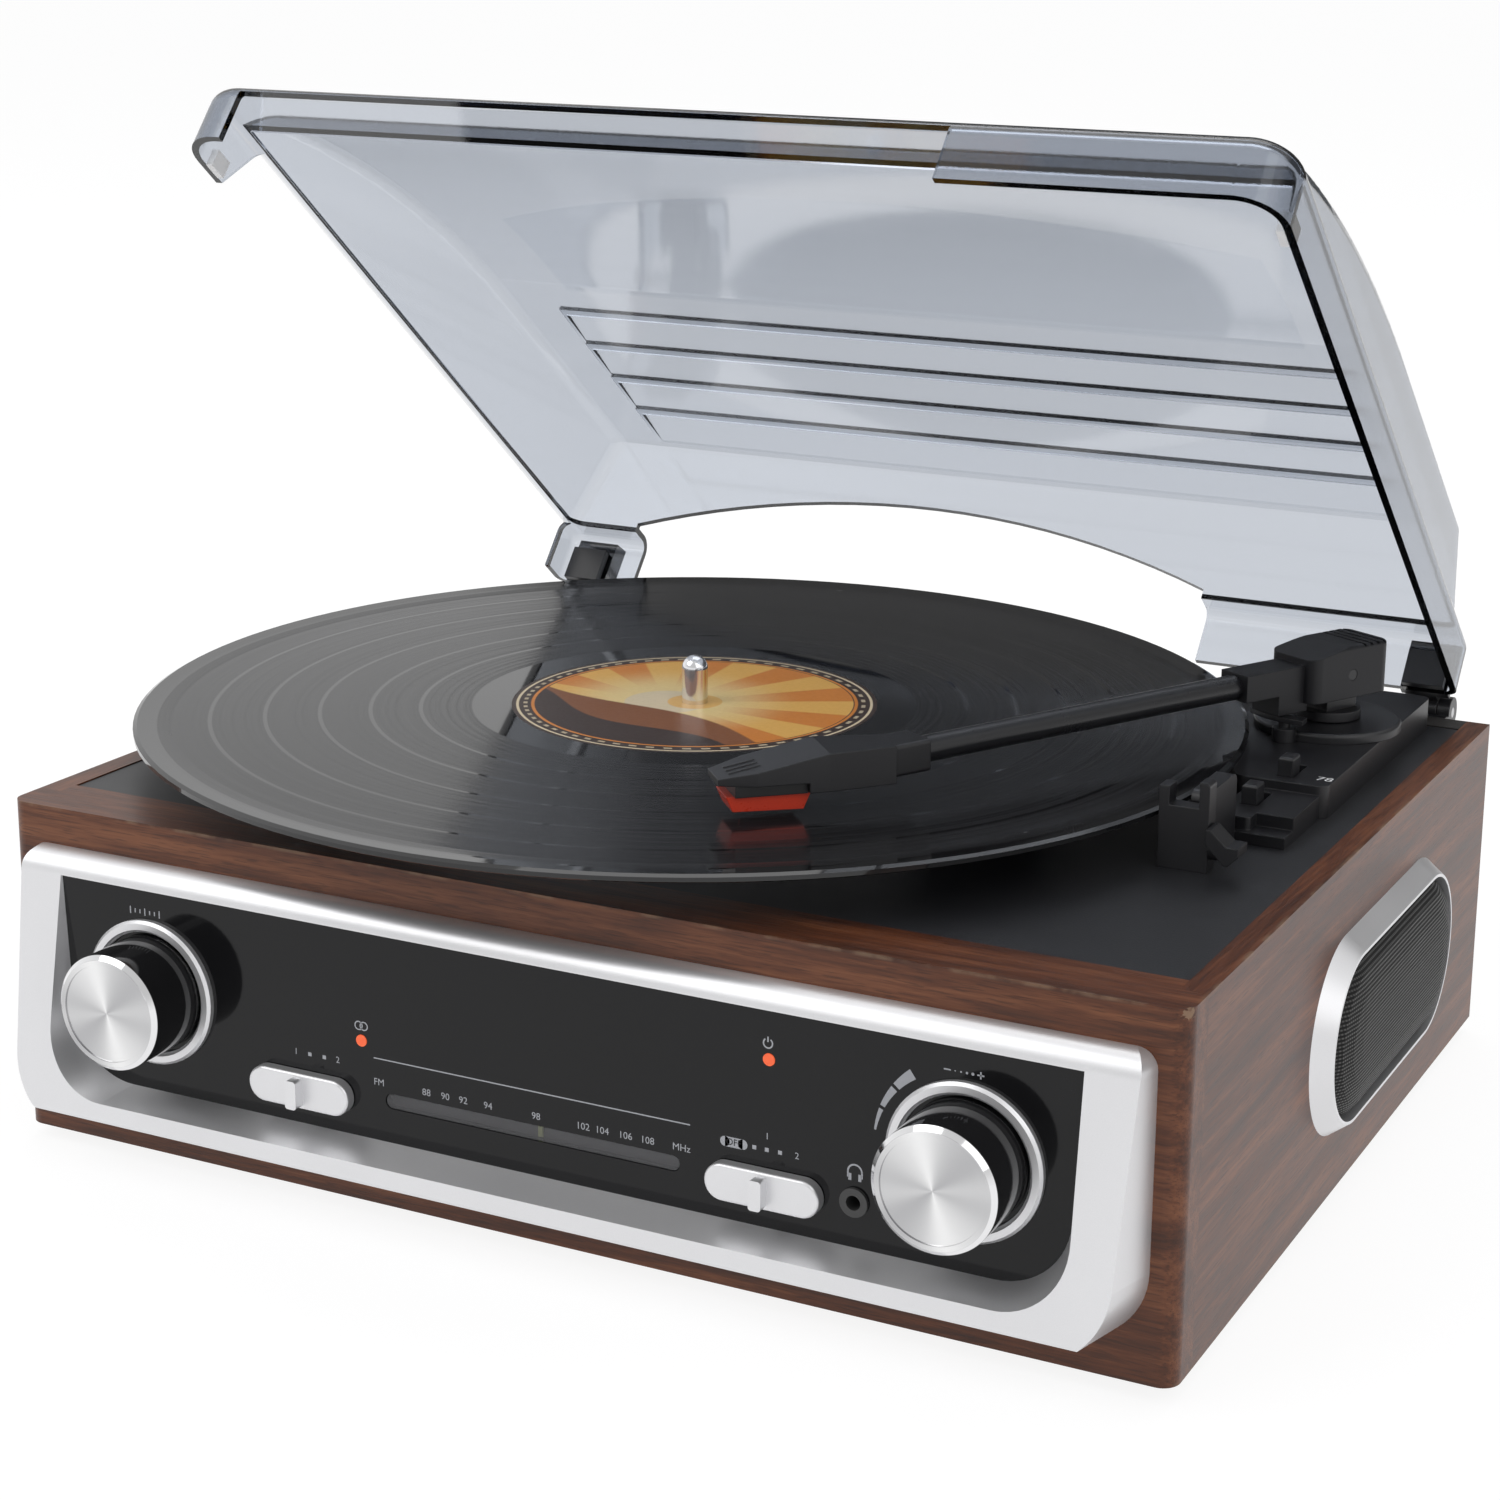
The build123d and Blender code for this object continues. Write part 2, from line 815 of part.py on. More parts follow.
# Dial: a back plate on two spacers, and the pointer that runs in front of it
plate_front_off = panel_back_off - pointer_thickness - 2 * slip_gap
plate_length = dial_slot_length + 2 * dial_spacer + 2 * slip_gap
with BuildPart() as dial_backplate:
    with BuildSketch(front(plate_front_off)):
        with Locations((dial_centre_x, above(dial_height))):
            Rectangle(plate_length, dial_plate_height)
    extrude(amount=-dial_plate_thickness)
    with BuildSketch(front(plate_front_off)):
        with Locations((dial_centre_x, above(dial_height))):
            with GridLocations(plate_length - dial_spacer, 1, 2, 1):
                Rectangle(dial_spacer, dial_plate_height)
    extrude(amount=panel_back_off - plate_front_off)
save(dial_backplate, "dial_backplate")

with BuildPart() as dial_pointer:
    with BuildSketch(front(plate_front_off + slip_gap)):
        with Locations((pointer_x, above(dial_height))):
            Rectangle(pointer_width, pointer_height)
    extrude(amount=pointer_thickness)
save(dial_pointer, "dial_pointer")

with BuildPart() as indicator_lamps:
    with BuildSketch(front(board_front_off)):
        with Locations(*lamp_places):
            Circle(lamp_radius)
    extrude(amount=board_setback + lamp_proud)
save(indicator_lamps, "indicator_lamps")


def slide_cap(place):
    """A flat oval cap with a finger rib, and a stem through the panel."""
    with BuildPart() as cap:
        with BuildSketch(front(panel_depth + slip_gap)):
            with Locations(place):
                SlotOverall(slide_length, slide_height)
        extrude(amount=slide_thickness)
        fillet(cap.faces().sort_by(Axis.Y)[0].edges(), slide_edge)
        with BuildSketch(front(panel_depth + slip_gap + slide_thickness)):
            with Locations(place):
                RectangleRounded(slide_rib_width, slide_rib_height, slide_edge)
        extrude(amount=slide_rib_proud)
        with BuildSketch(front(panel_depth + slip_gap)):
            with Locations(place):
                Rectangle(slide_stem_width, slide_stem_height)
        extrude(amount=-(panel_wall + slide_edge))
    return cap


function_slide_cap = slide_cap(slide_places[0])
save(function_slide_cap, "function_slide_cap")
power_slide_cap = slide_cap(slide_places[1])
save(power_slide_cap, "power_slide_cap")

with BuildPart() as headphone_jack:
    with BuildSketch(front(board_front_off)):
        with Locations((jack_x, above(jack_height))):
            Circle(jack_barrel)
    extrude(amount=board_setback)
    with BuildSketch(front(panel_depth)):
        with Locations((jack_x, above(jack_height))):
            Circle(jack_radius)
    extrude(amount=jack_flange)
    with BuildSketch(front(panel_depth + jack_flange)):
        with Locations((jack_x, above(jack_height))):
            Circle(jack_bore)
    extrude(amount=-jack_depth, mode=Mode.SUBTRACT)
save(headphone_jack, "headphone_jack")


def speaker_slot(x, radius):
    """A loudspeaker outline of a given end radius, facing right at x."""
    with BuildSketch(side(x)) as outline:
        with Locations((speaker_centre_y, above(speaker_height))):
            SlotCenterToCenter(speaker_span, 2 * radius)
    return outline.sketch


# Loudspeaker ring: a steep band outside, a sleeve through the board
with BuildPart() as speaker_ring_right:
    ring_foot = speaker_slot(half_width, ring_radius)
    ring_crest = speaker_slot(half_width + ring_proud, ring_mouth + ring_sleeve)
    loft([ring_foot, ring_crest], ruled=True)
    extrude(speaker_slot(inner_half, ring_mouth + ring_sleeve), amount=side_thickness)
    extrude(speaker_slot(inner_half, ring_mouth), amount=side_thickness + ring_proud,
            mode=Mode.SUBTRACT)
save(speaker_ring_right, "speaker_ring_right")

grille_radius = ring_mouth - slip_gap
grille_sections = [(0.0, 1.0), (0.45, 0.94), (0.75, 0.8), (0.93, 0.55), (1.0, 0.25)]


def grille_dome(shrink):
    """The grille's crown, from its rim at the ring to its flat top."""
    with BuildPart() as dome:
        sections = [
            speaker_slot(half_width + grille_seat + (grille_rise - shrink) * rise,
                         (grille_radius - shrink) * share)
            for rise, share in grille_sections
        ]
        loft(sections, ruled=True)
    return dome.part


with BuildPart() as speaker_grille_right:
    add(grille_dome(0))
    add(grille_dome(grille_wall), mode=Mode.SUBTRACT)
save(speaker_grille_right, "speaker_grille_right")

with BuildPart() as speaker_ring_left:
    mirror(speaker_ring_right.part, about=Plane.YZ)
save(speaker_ring_left, "speaker_ring_left")

with BuildPart() as speaker_grille_left:
    mirror(speaker_grille_right.part, about=Plane.YZ)
save(speaker_grille_left, "speaker_grille_left")


def driver_disc(x, radius):
    """A round section of the driver at x."""
    with BuildSketch(side(x)) as disc:
        with Locations((speaker_centre_y, above(speaker_height))):
            Circle(radius)
    return disc.sketch


cone_end = inner_half - driver_flange - driver_depth
with BuildPart() as right_driver:
    cone_mouth = inner_half - driver_flange
    loft([driver_disc(cone_end, driver_throat + driver_wall),
          driver_disc(cone_mouth, driver_mouth + driver_wall)])
    extrude(driver_disc(cone_end, magnet_radius), amount=-magnet_depth)
    extrude(speaker_slot(cone_mouth, ring_radius), amount=driver_flange)
    loft([driver_disc(cone_end, driver_throat), driver_disc(cone_mouth, driver_mouth)],
         mode=Mode.SUBTRACT)
    extrude(driver_disc(cone_mouth, driver_mouth), amount=driver_flange, mode=Mode.SUBTRACT)

with BuildPart() as speaker_drivers:
    add(right_driver.part)
    mirror(right_driver.part, about=Plane.YZ)
save(speaker_drivers, "speaker_drivers")

# Platter, mat, record, label and spindle turn together about the spindle axis
spindle_axis_plane = Plane(origin=(spindle_x, spindle_y, 0), x_dir=(1, 0, 0), z_dir=(0, -1, 0))
record_level = above(record_top)
record_under = record_level - record_thickness
mat_under = record_under - mat_thickness
platter_under = mat_under - platter_top_thickness
platter_foot = deck_top + platter_deck_gap
spindle_top = record_level + spindle_rise
spindle_foot = platter_under - spindle_depth


def turned_section(points):
    """A closed outline of (radius, height) points beside the spindle axis."""
    with BuildSketch(spindle_axis_plane) as outline:
        with BuildLine():
            Polyline(*points, close=True)
        make_face()
    return outline.sketch


spindle_axis = Axis((spindle_x, spindle_y, 0), (0, 0, 1))
with BuildPart() as platter:
    revolve(turned_section([
        (spindle_radius, mat_under),
        (platter_radius, mat_under),
        (platter_radius, platter_foot),
        (platter_radius - platter_skirt_wall, platter_foot),
        (platter_radius - platter_skirt_wall, platter_under),
        (drive_ring_radius, platter_under),
        (drive_ring_radius, platter_foot),
        (drive_ring_radius - drive_ring_wall, platter_foot),
        (drive_ring_radius - drive_ring_wall, platter_under),
        (platter_boss_radius, platter_under),
        (platter_boss_radius, platter_foot),
        (spindle_radius, platter_foot),
    ]), axis=spindle_axis)
save(platter, "platter")

with BuildPart() as platter_mat:
    with BuildSketch(level(mat_under)):
        with Locations((spindle_x, spindle_y)):
            Circle(mat_radius)
            Circle(spindle_radius + hole_gap, mode=Mode.SUBTRACT)
    extrude(amount=mat_thickness)
save(platter_mat, "platter_mat")

# Record: a raised bead at the rim, a thinner web inside it, and a recess for the label
web_top = record_under + record_web
with BuildPart() as vinyl_record:
    revolve(turned_section([
        (spindle_radius + hole_gap, record_under),
        (record_radius - record_thickness / 2, record_under),
        (record_radius, record_under + record_thickness / 4),
        (record_radius, record_level - record_thickness / 4),
        (record_radius - record_thickness / 2, record_level),
        (record_radius - record_bead, record_level - label_thickness),
        (record_radius - 2 * record_bead, web_top),
        (label_radius, web_top),
        (label_radius, web_top - label_thickness),
        (spindle_radius + hole_gap, web_top - label_thickness),
    ]), axis=spindle_axis)
save(vinyl_record, "vinyl_record")

with BuildPart() as record_label:
    with BuildSketch(level(web_top - label_thickness)):
        with Locations((spindle_x, spindle_y)):
            Circle(label_radius - hole_gap)
            Circle(spindle_radius + hole_gap, mode=Mode.SUBTRACT)
    extrude(amount=label_thickness)
save(record_label, "record_label")

with BuildPart() as spindle:
    with BuildSketch(level(spindle_foot)):
        with Locations((spindle_x, spindle_y)):
            Circle(spindle_radius)
    extrude(amount=spindle_top - spindle_foot)
    fillet(spindle.edges().sort_by(Axis.Z)[-1], spindle_radius - hole_gap)
save(spindle, "spindle")

with BuildPart() as spindle_bearing:
    with BuildSketch(level(spindle_foot - bush_floor - slip_gap)):
        with Locations((spindle_x, spindle_y)):
            Circle(bush_radius)
    extrude(amount=deck_top - spindle_foot + bush_floor + slip_gap)
    with BuildSketch(level(deck_under)):
        with Locations((spindle_x, spindle_y)):
            Circle(bush_flange_radius)
    extrude(amount=-bush_flange)
    with BuildSketch(level(deck_top)):
        with Locations((spindle_x, spindle_y)):
            Circle(spindle_radius + running_gap)
    extrude(amount=-(deck_top - spindle_foot + slip_gap), mode=Mode.SUBTRACT)
save(spindle_bearing, "spindle_bearing")

# Motor under the deck, its pulley inside the platter, and the belt round both
pulley_foot = platter_foot
belt_foot = pulley_foot + pulley_lip
motor_top = deck_under - bracket_drop - bracket_thickness
with BuildPart() as motor:
    with BuildSketch(level(motor_top)):
        with Locations((motor_x, motor_y)):
            Circle(motor_radius)
    extrude(amount=-motor_height)
    fillet(motor.edges().group_by(Axis.Z)[0], bracket_thickness)
    with BuildSketch(level(motor_top)):
        with Locations((motor_x, motor_y)):
            Circle(motor_shaft_radius + running_gap)
    extrude(amount=-(motor_bush_depth + slip_gap), mode=Mode.SUBTRACT)
save(motor, "motor")

with BuildPart() as motor_bracket:
    with BuildSketch(level(motor_top)):
        with Locations((motor_x, motor_y)):
            RectangleRounded(bracket_size, bracket_size, bracket_post_radius)
            Circle(motor_shaft_radius + deck_hole_gap, mode=Mode.SUBTRACT)
    extrude(amount=bracket_thickness)
    with BuildSketch(level(motor_top + bracket_thickness)):
        with Locations((motor_x, motor_y)):
            with GridLocations(2 * bracket_post_place, 2 * bracket_post_place, 2, 2):
                Circle(bracket_post_radius)
    extrude(amount=bracket_drop)
save(motor_bracket, "motor_bracket")

with BuildPart() as motor_pulley:
    with BuildSketch(level(pulley_foot)):
        with Locations((motor_x, motor_y)):
            Circle(pulley_radius + pulley_lip)
    extrude(amount=pulley_lip)
    with BuildSketch(level(belt_foot)):
        with Locations((motor_x, motor_y)):
            Circle(pulley_radius)
    extrude(amount=belt_height + slip_gap)
    with BuildSketch(level(motor_top - motor_bush_depth)):
        with Locations((motor_x, motor_y)):
            Circle(motor_shaft_radius)
    extrude(amount=pulley_foot - motor_top + motor_bush_depth)
save(motor_pulley, "motor_pulley")


def belt_loop(grow):
    """The belt's outline round the drive ring and the pulley."""
    with BuildSketch(level(belt_foot)) as outline:
        with Locations((spindle_x, spindle_y)):
            Circle(drive_ring_radius + grow)
        with Locations((motor_x, motor_y)):
            Circle(pulley_radius + grow)
        make_hull()
    return outline.sketch


with BuildPart() as drive_belt:
    extrude(belt_loop(slip_gap + belt_thickness), amount=belt_height)
    extrude(belt_loop(slip_gap), amount=belt_height, mode=Mode.SUBTRACT)
save(drive_belt, "drive_belt")

# Arm plinth: a raised moulding with two console steps and the arm's bush
plinth_level = above(plinth_top)
step_level = above(step_top)
disc_top = plinth_level + disc_thickness
shaft_foot = deck_under - pivot_shaft_depth


def selector_slot(place):
    """The slot that a selector's foot slides in."""
    with Locations((place[0], place[1] + selector_travel / 2)):
        Rectangle(selector_width + 2 * slip_gap,
                  selector_length + selector_travel + 2 * slip_gap)


with BuildPart() as arm_plinth:
    with BuildSketch(level(deck_top)) as plan:
        with BuildLine():
            Polyline(
                (plinth_right, plinth_back),
                (plinth_left, plinth_back),
                (plinth_left, plinth_waist_y),
                (console_left, console_front),
                (plinth_right, console_front),
                close=True,
            )
        make_face()
        fillet(plan.vertices(), console_corner)
    extrude(amount=plinth_level - deck_top)
    with BuildSketch(level(deck_top)) as plan:
        with BuildLine():
            Polyline(
                (step_left, tongue_front),
                (tongue_right, tongue_front),
                (tongue_right, step_front),
                (step_right, step_front),
                (step_right, console_front + console_corner),
                (step_left, console_front + console_corner),
                close=True,
            )
        make_face()
        fillet(plan.vertices().group_by(Axis.Y)[0], console_corner / 2)
    extrude(amount=step_level - deck_top)
    with BuildSketch(level(deck_top)):
        with Locations((step_right, ledge_front)):
            Rectangle(step_right - step_left - console_corner, console_front - ledge_front,
                      align=(Align.MAX, Align.MIN))
    extrude(amount=above(ledge_top) - deck_top)
    with BuildSketch(level(plinth_level)):
        selector_slot(speed_place)
    extrude(amount=-selector_slot_depth, mode=Mode.SUBTRACT)
    with BuildSketch(level(step_level)):
        selector_slot(stop_place)
    extrude(amount=-selector_slot_depth, mode=Mode.SUBTRACT)
    with BuildSketch(level(deck_top)):
        with Locations((pivot_x, pivot_y)):
            Circle(pivot_bush_radius)
    extrude(amount=shaft_foot - bush_floor - deck_top)
    with BuildSketch(level(plinth_level)):
        with Locations((pivot_x, pivot_y)):
            Circle(pivot_shaft_radius + running_gap)
    extrude(amount=shaft_foot - slip_gap - plinth_level, mode=Mode.SUBTRACT)
save(arm_plinth, "arm_plinth")

stem_place = polar((lifter_inner + lifter_outer) / 2, lifter_angle)
with BuildPart() as arm_base_disc:
    with BuildSketch(level(plinth_level)):
        with Locations((pivot_x, pivot_y)):
            Circle(disc_radius)
    extrude(amount=disc_thickness)
    fillet(arm_base_disc.faces().sort_by(Axis.Z)[-1].edges(), disc_edge)
    with BuildSketch(level(plinth_level)):
        with Locations((pivot_x, pivot_y)):
            Circle(pivot_shaft_radius + slip_gap)
    extrude(amount=disc_thickness, mode=Mode.SUBTRACT)
    with BuildSketch(arm_level_plane(plinth_level)):
        with Locations(stem_place):
            Circle(lifter_guide_radius)
    extrude(amount=lifter_guide_height)
    with BuildSketch(arm_level_plane(plinth_level)):
        with Locations(stem_place):
            Circle(lifter_stem_radius + running_gap)
    extrude(amount=lifter_guide_height, mode=Mode.SUBTRACT)
save(arm_base_disc, "arm_base_disc")

# Arm fork: it swings on its shaft and carries the tilt pin
hub_foot = disc_top + slip_gap
with BuildPart() as arm_fork:
    with BuildSketch(level(shaft_foot)):
        with Locations((pivot_x, pivot_y)):
            Circle(pivot_shaft_radius)
    extrude(amount=hub_foot - shaft_foot)
    with BuildSketch(level(hub_foot)):
        with Locations((pivot_x, pivot_y)):
            Circle(fork_hub_radius)
    extrude(amount=fork_hub_height)
    with BuildSketch(arm_level_plane(hub_foot)):
        Rectangle(fork_length, fork_width)
    extrude(amount=above(fork_top) - hub_foot)
    with BuildSketch(arm_side_plane()):
        with Locations((0, pivot_level)):
            Circle(tilt_pin_radius)
    extrude(amount=housing_half_width - housing_edge, both=True)
save(arm_fork, "arm_fork")

# Arm housing: a hollow cover over the fork with a solid nose that holds the tube
nose_front = housing_front + nose_length
with BuildPart() as arm_housing:
    with BuildSketch(arm_side_plane()):
        with BuildLine():
            Polyline(
                (-housing_rear, above(housing_bottom)),
                (housing_front, above(housing_bottom)),
                (housing_front, above(housing_front_top)),
                (housing_slope_start, above(housing_top)),
                (-housing_rear, above(housing_top)),
                close=True,
            )
        make_face()
    extrude(amount=housing_half_width, both=True)
    fillet(arm_housing.edges().filter_by(Axis.Z), housing_corner)
    fillet(arm_housing.faces().sort_by(Axis.Z)[-1].edges(), housing_edge)
    with BuildSketch(arm_level_plane(above(housing_bottom))):
        with Locations(((housing_front - housing_rear) / 2, 0)):
            RectangleRounded(housing_front + housing_rear - 2 * housing_wall,
                             2 * (housing_half_width - housing_wall),
                             housing_corner - housing_wall)
    extrude(amount=housing_front_top - housing_bottom - housing_wall, mode=Mode.SUBTRACT)
    with BuildSketch(arm_side_plane()):
        with BuildLine():
            Polyline(
                (housing_front - housing_wall, above(nose_top)),
                (nose_front, above(nose_top)),
                (nose_front, above(nose_bottom)),
                (housing_front + nose_hook_length, above(nose_bottom)),
                (housing_front + nose_hook_length, above(nose_hook_bottom)),
                (housing_front - housing_wall, above(nose_hook_bottom)),
                close=True,
            )
        make_face()
    extrude(amount=nose_half_width, both=True)
    with BuildSketch(arm_section_plane(nose_front)):
        with Locations((0, pivot_level)):
            Circle(tube_radius)
    extrude(amount=-(nose_front - tube_start), mode=Mode.SUBTRACT)
    with BuildSketch(arm_side_plane()):
        with Locations((0, pivot_level)):
            Circle(tilt_pin_radius + running_gap)
    extrude(amount=housing_half_width, both=True, mode=Mode.SUBTRACT)
    with BuildSketch(arm_side_plane()):
        for groove in range(groove_count):
            with Locations((-housing_rear + (groove + 1) * groove_pitch, above(housing_top))):
                Rectangle(groove_width, 2 * groove_depth)
    extrude(amount=housing_half_width, both=True, mode=Mode.SUBTRACT)
save(arm_housing, "arm_housing")

with BuildPart() as tonearm_tube:
    with BuildSketch(arm_section_plane(tube_start)):
        with Locations((0, pivot_level)):
            Circle(tube_radius)
            Circle(tube_bore, mode=Mode.SUBTRACT)
    extrude(amount=tube_end - tube_start)
save(tonearm_tube, "tonearm_tube")

# Headshell: a collar on the tube, then a body turned inwards
with BuildPart() as headshell:
    with BuildSketch(head_level_plane(above(head_bottom))):
        with BuildLine():
            Polyline(
                (-head_rear_half, -head_rear_half),
                (head_shoulder, -head_half_width),
                (head_cheek, -head_half_width),
                (head_length, -head_front_half),
                (head_length, head_front_half),
                (head_cheek, head_half_width),
                (head_shoulder, head_half_width),
                (-head_rear_half, head_rear_half),
                close=True,
            )
        make_face()
    extrude(amount=head_top - head_bottom)
    with BuildSketch(head_side_plane()):
        with BuildLine():
            Polyline(
                (-2 * head_rear_half, above(head_bottom)),
                (head_length, above(head_bottom)),
                (head_length, above(head_front_top)),
                (head_shoulder, above(head_top)),
                (-2 * head_rear_half, above(head_top)),
                close=True,
            )
        make_face()
    extrude(amount=head_half_width, both=True, mode=Mode.INTERSECT)
    with BuildSketch(head_level_plane(above(head_heel_bottom))):
        with BuildLine():
            Polyline(
                (-head_rear_half, -head_rear_half),
                (head_shoulder, -head_half_width),
                (cartridge_start, -head_half_width),
                (cartridge_start, head_half_width),
                (head_shoulder, head_half_width),
                (-head_rear_half, head_rear_half),
                close=True,
            )
        make_face()
    extrude(amount=head_bottom - head_heel_bottom)
    with BuildSketch(arm_section_plane(collar_start)):
        with Locations((0, pivot_level)):
            RectangleRounded(head_collar_width, head_collar_height, head_collar_corner)
    extrude(amount=head_start - collar_start)
    with BuildSketch(arm_section_plane(collar_start)):
        with Locations((0, pivot_level)):
            Circle(tube_radius)
    extrude(amount=tube_end - collar_start, mode=Mode.SUBTRACT)
save(headshell, "headshell")

with BuildPart() as cartridge:
    with BuildSketch(head_level_plane(above(cartridge_bottom))):
        with Locations((cartridge_start, 0)):
            Rectangle(cartridge_length, 2 * cartridge_half_width,
                      align=(Align.MIN, Align.CENTER))
    extrude(amount=head_bottom - cartridge_bottom)
save(cartridge, "cartridge")

needle_tip = record_level + slip_gap
with BuildPart() as stylus_holder:
    with BuildSketch(head_side_plane()):
        with BuildLine():
            Polyline(
                (stylus_start + stylus_rear_rake, above(stylus_bottom)),
                (stylus_start + stylus_length - stylus_front_rake,
                 above(stylus_bottom) + stylus_front_rise),
                (stylus_start + stylus_length, above(cartridge_bottom)),
                (stylus_start, above(cartridge_bottom)),
                close=True,
            )
        make_face()
    extrude(amount=stylus_half_width, both=True)
    with BuildSketch(head_level_plane(needle_tip)):
        with Locations((needle_place, 0)):
            Circle(needle_radius / 4)
    with BuildSketch(head_level_plane(above(cartridge_bottom))):
        with Locations((needle_place, 0)):
            Circle(needle_radius)
    loft(ruled=True)
save(stylus_holder, "stylus_holder")


def selector(place, top):
    """A small block with a foot in its slot."""
    with BuildPart() as block:
        with BuildSketch(level(top - selector_slot_depth + slip_gap)):
            with Locations(place):
                Rectangle(selector_width, selector_length)
        extrude(amount=selector_slot_depth - slip_gap + selector_proud)
        fillet(block.faces().sort_by(Axis.Z)[-1].edges(), slide_edge)
    return block


speed_selector = selector(speed_place, plinth_level)
save(speed_selector, "speed_selector")
auto_stop_selector = selector(stop_place, step_level)
save(auto_stop_selector, "auto_stop_selector")

# Arm rest: a notched post, with the cue mechanism's wall behind it
saddle_left = rest_left + (rest_width - saddle_width) / 2
rest_right = rest_left + rest_width
rest_back = rest_front + rest_depth
cue_wall_front = rest_back + cue_wall_slot
cue_wall_back = ledge_front - slip_gap
with BuildPart() as arm_rest:
    with BuildSketch(Plane.XZ.offset(-rest_back)) as notched:
        with BuildLine():
            Polyline(
                (rest_left, deck_top),
                (rest_right, deck_top),
                (rest_right, above(rest_outer_prong)),
                (saddle_left + saddle_width, above(rest_outer_prong)),
                (saddle_left + saddle_width, above(rest_saddle)),
                (saddle_left, above(rest_saddle)),
                (saddle_left, above(rest_inner_prong)),
                (rest_left, above(rest_inner_prong)),
                close=True,
            )
        make_face()
        fillet(notched.vertices().group_by(Axis.Y)[-1].sort_by(Axis.X)[-1], rest_corner)
    extrude(amount=rest_depth)
    with BuildSketch(side(cue_wall_left)) as wall:
        with Locations((cue_wall_front, deck_top)):
            Rectangle(cue_wall_back - cue_wall_front, above(cue_wall_top) - deck_top,
                      align=(Align.MIN, Align.MIN))
        fillet(wall.vertices().group_by(Axis.Y)[-1], cue_wall_corner)
    extrude(amount=cue_wall_width)
    with BuildSketch(side(cue_wall_left)):
        with Locations((rest_back, deck_top)):
            Rectangle(2 * cue_wall_slot, above(rest_bridge) - deck_top,
                      align=(Align.MIN, Align.MIN))
    extrude(amount=cue_wall_width)
    with BuildSketch(side(rest_right)):
        with Locations((cue_axis_y, above(cue_axis_height))):
            Circle(cue_pin_radius)
    extrude(amount=lever_hub_width)
save(arm_rest, "arm_rest")

# Cue lever: a hub on its pin, and a bent paddle to the right of the post
lever_left = rest_right + slip_gap
with BuildPart() as cue_lever:
    with BuildSketch(side(lever_left)):
        with Locations((cue_axis_y, above(cue_axis_height))):
            Circle(lever_hub_radius)
    extrude(amount=lever_hub_width)
    with BuildSketch(Plane.XZ.offset(-lever_front)) as paddle:
        with BuildLine():
            Polyline(
                (lever_left, above(lever_top)),
                (lever_left + lever_wall / 2, above(lever_top)),
                (lever_knee, above(lever_lip)),
                (lever_outer, above(lever_lip)),
                (lever_outer, above(lever_lip - lever_wall)),
                (lever_knee, above(lever_bottom)),
                (lever_left, above(lever_lip)),
                close=True,
            )
        make_face()
        fillet(paddle.vertices().group_by(Axis.Y)[0], lever_wall / 2)
    extrude(amount=-lever_depth)
    with BuildSketch(side(rest_right)):
        with Locations((cue_axis_y, above(cue_axis_height))):
            Circle(cue_pin_radius + running_gap)
    extrude(amount=lever_hub_width + 2 * slip_gap, mode=Mode.SUBTRACT)
save(cue_lever, "cue_lever")

# Arm lifter: a low arc under the arm's nose, on a stem in the base disc
lifter_top = above(nose_hook_bottom) - slip_gap
with BuildPart() as arm_lifter:
    with BuildSketch(arm_level_plane(lifter_top)):
        with BuildLine():
            lifter_rim = CenterArc((0, 0), lifter_outer, lifter_sweep_low,
                                   lifter_sweep_high - lifter_sweep_low)
            lifter_core = CenterArc((0, 0), lifter_inner, lifter_sweep_low,
                                    lifter_sweep_high - lifter_sweep_low)
            Line(lifter_rim @ 0, lifter_core @ 0)
            Line(lifter_rim @ 1, lifter_core @ 1)
        make_face()
    extrude(amount=-lifter_thickness)
    with BuildSketch(arm_level_plane(lifter_top - lifter_thickness)):
        with Locations(stem_place):
            Circle(lifter_stem_radius)
    extrude(amount=plinth_level - lifter_top + lifter_thickness)
save(arm_lifter, "arm_lifter")


def crown_form(inset):
    """The lid's raised crown, drawn smaller all round by inset."""
    with BuildPart() as crown:
        with BuildSketch(Plane.YZ) as profile:
            with BuildLine():
                front_foot = (crown_front, rim_level + skirt_height / 2)
                front_crease = (crown_front, rim_level + skirt_height)
                brow_point = (crown_brow, rim_level + crown_brow_rise)
                back_start = (crown_back_start, rim_level + crown_back_rise)
                rear_point = (crown_rear, rim_level + crown_rear_rise)
                rear_foot = (crown_foot, rim_level + skirt_height / 2)
                Polyline(rear_point, rear_foot, front_foot, front_crease, brow_point)
                ThreePointArc(brow_point, (crown_mid_y, rim_level + crown_mid_rise), back_start)
                Line(back_start, rear_point)
            make_face()
            if inset:
                offset(amount=-inset)
        extrude(amount=lid_half_width, both=True)
        with BuildSketch(Plane.XZ) as gable:
            with BuildLine():
                top = rim_level + crown_rear_rise + skirt_height
                lean = (crown_half_base - crown_half_top) / (crown_rear_rise - skirt_height)
                half_top = crown_half_top - lean * skirt_height
                half_foot = crown_half_base + lean * skirt_height
                Polyline((-half_foot, rim_level), (half_foot, rim_level),
                         (half_top, top), (-half_top, top), close=True)
            make_face()
            if inset:
                offset(amount=-inset)
        extrude(amount=case_depth, both=True, mode=Mode.INTERSECT)
        shoulders = crown.edges().filter_by(
            lambda edge: abs(edge.center().X) > crown_half_top - crown_edge
            and edge.center().Z > rim_level + skirt_height + ledge_radius
        )
        fillet(shoulders, crown_edge - inset)
    return crown.part


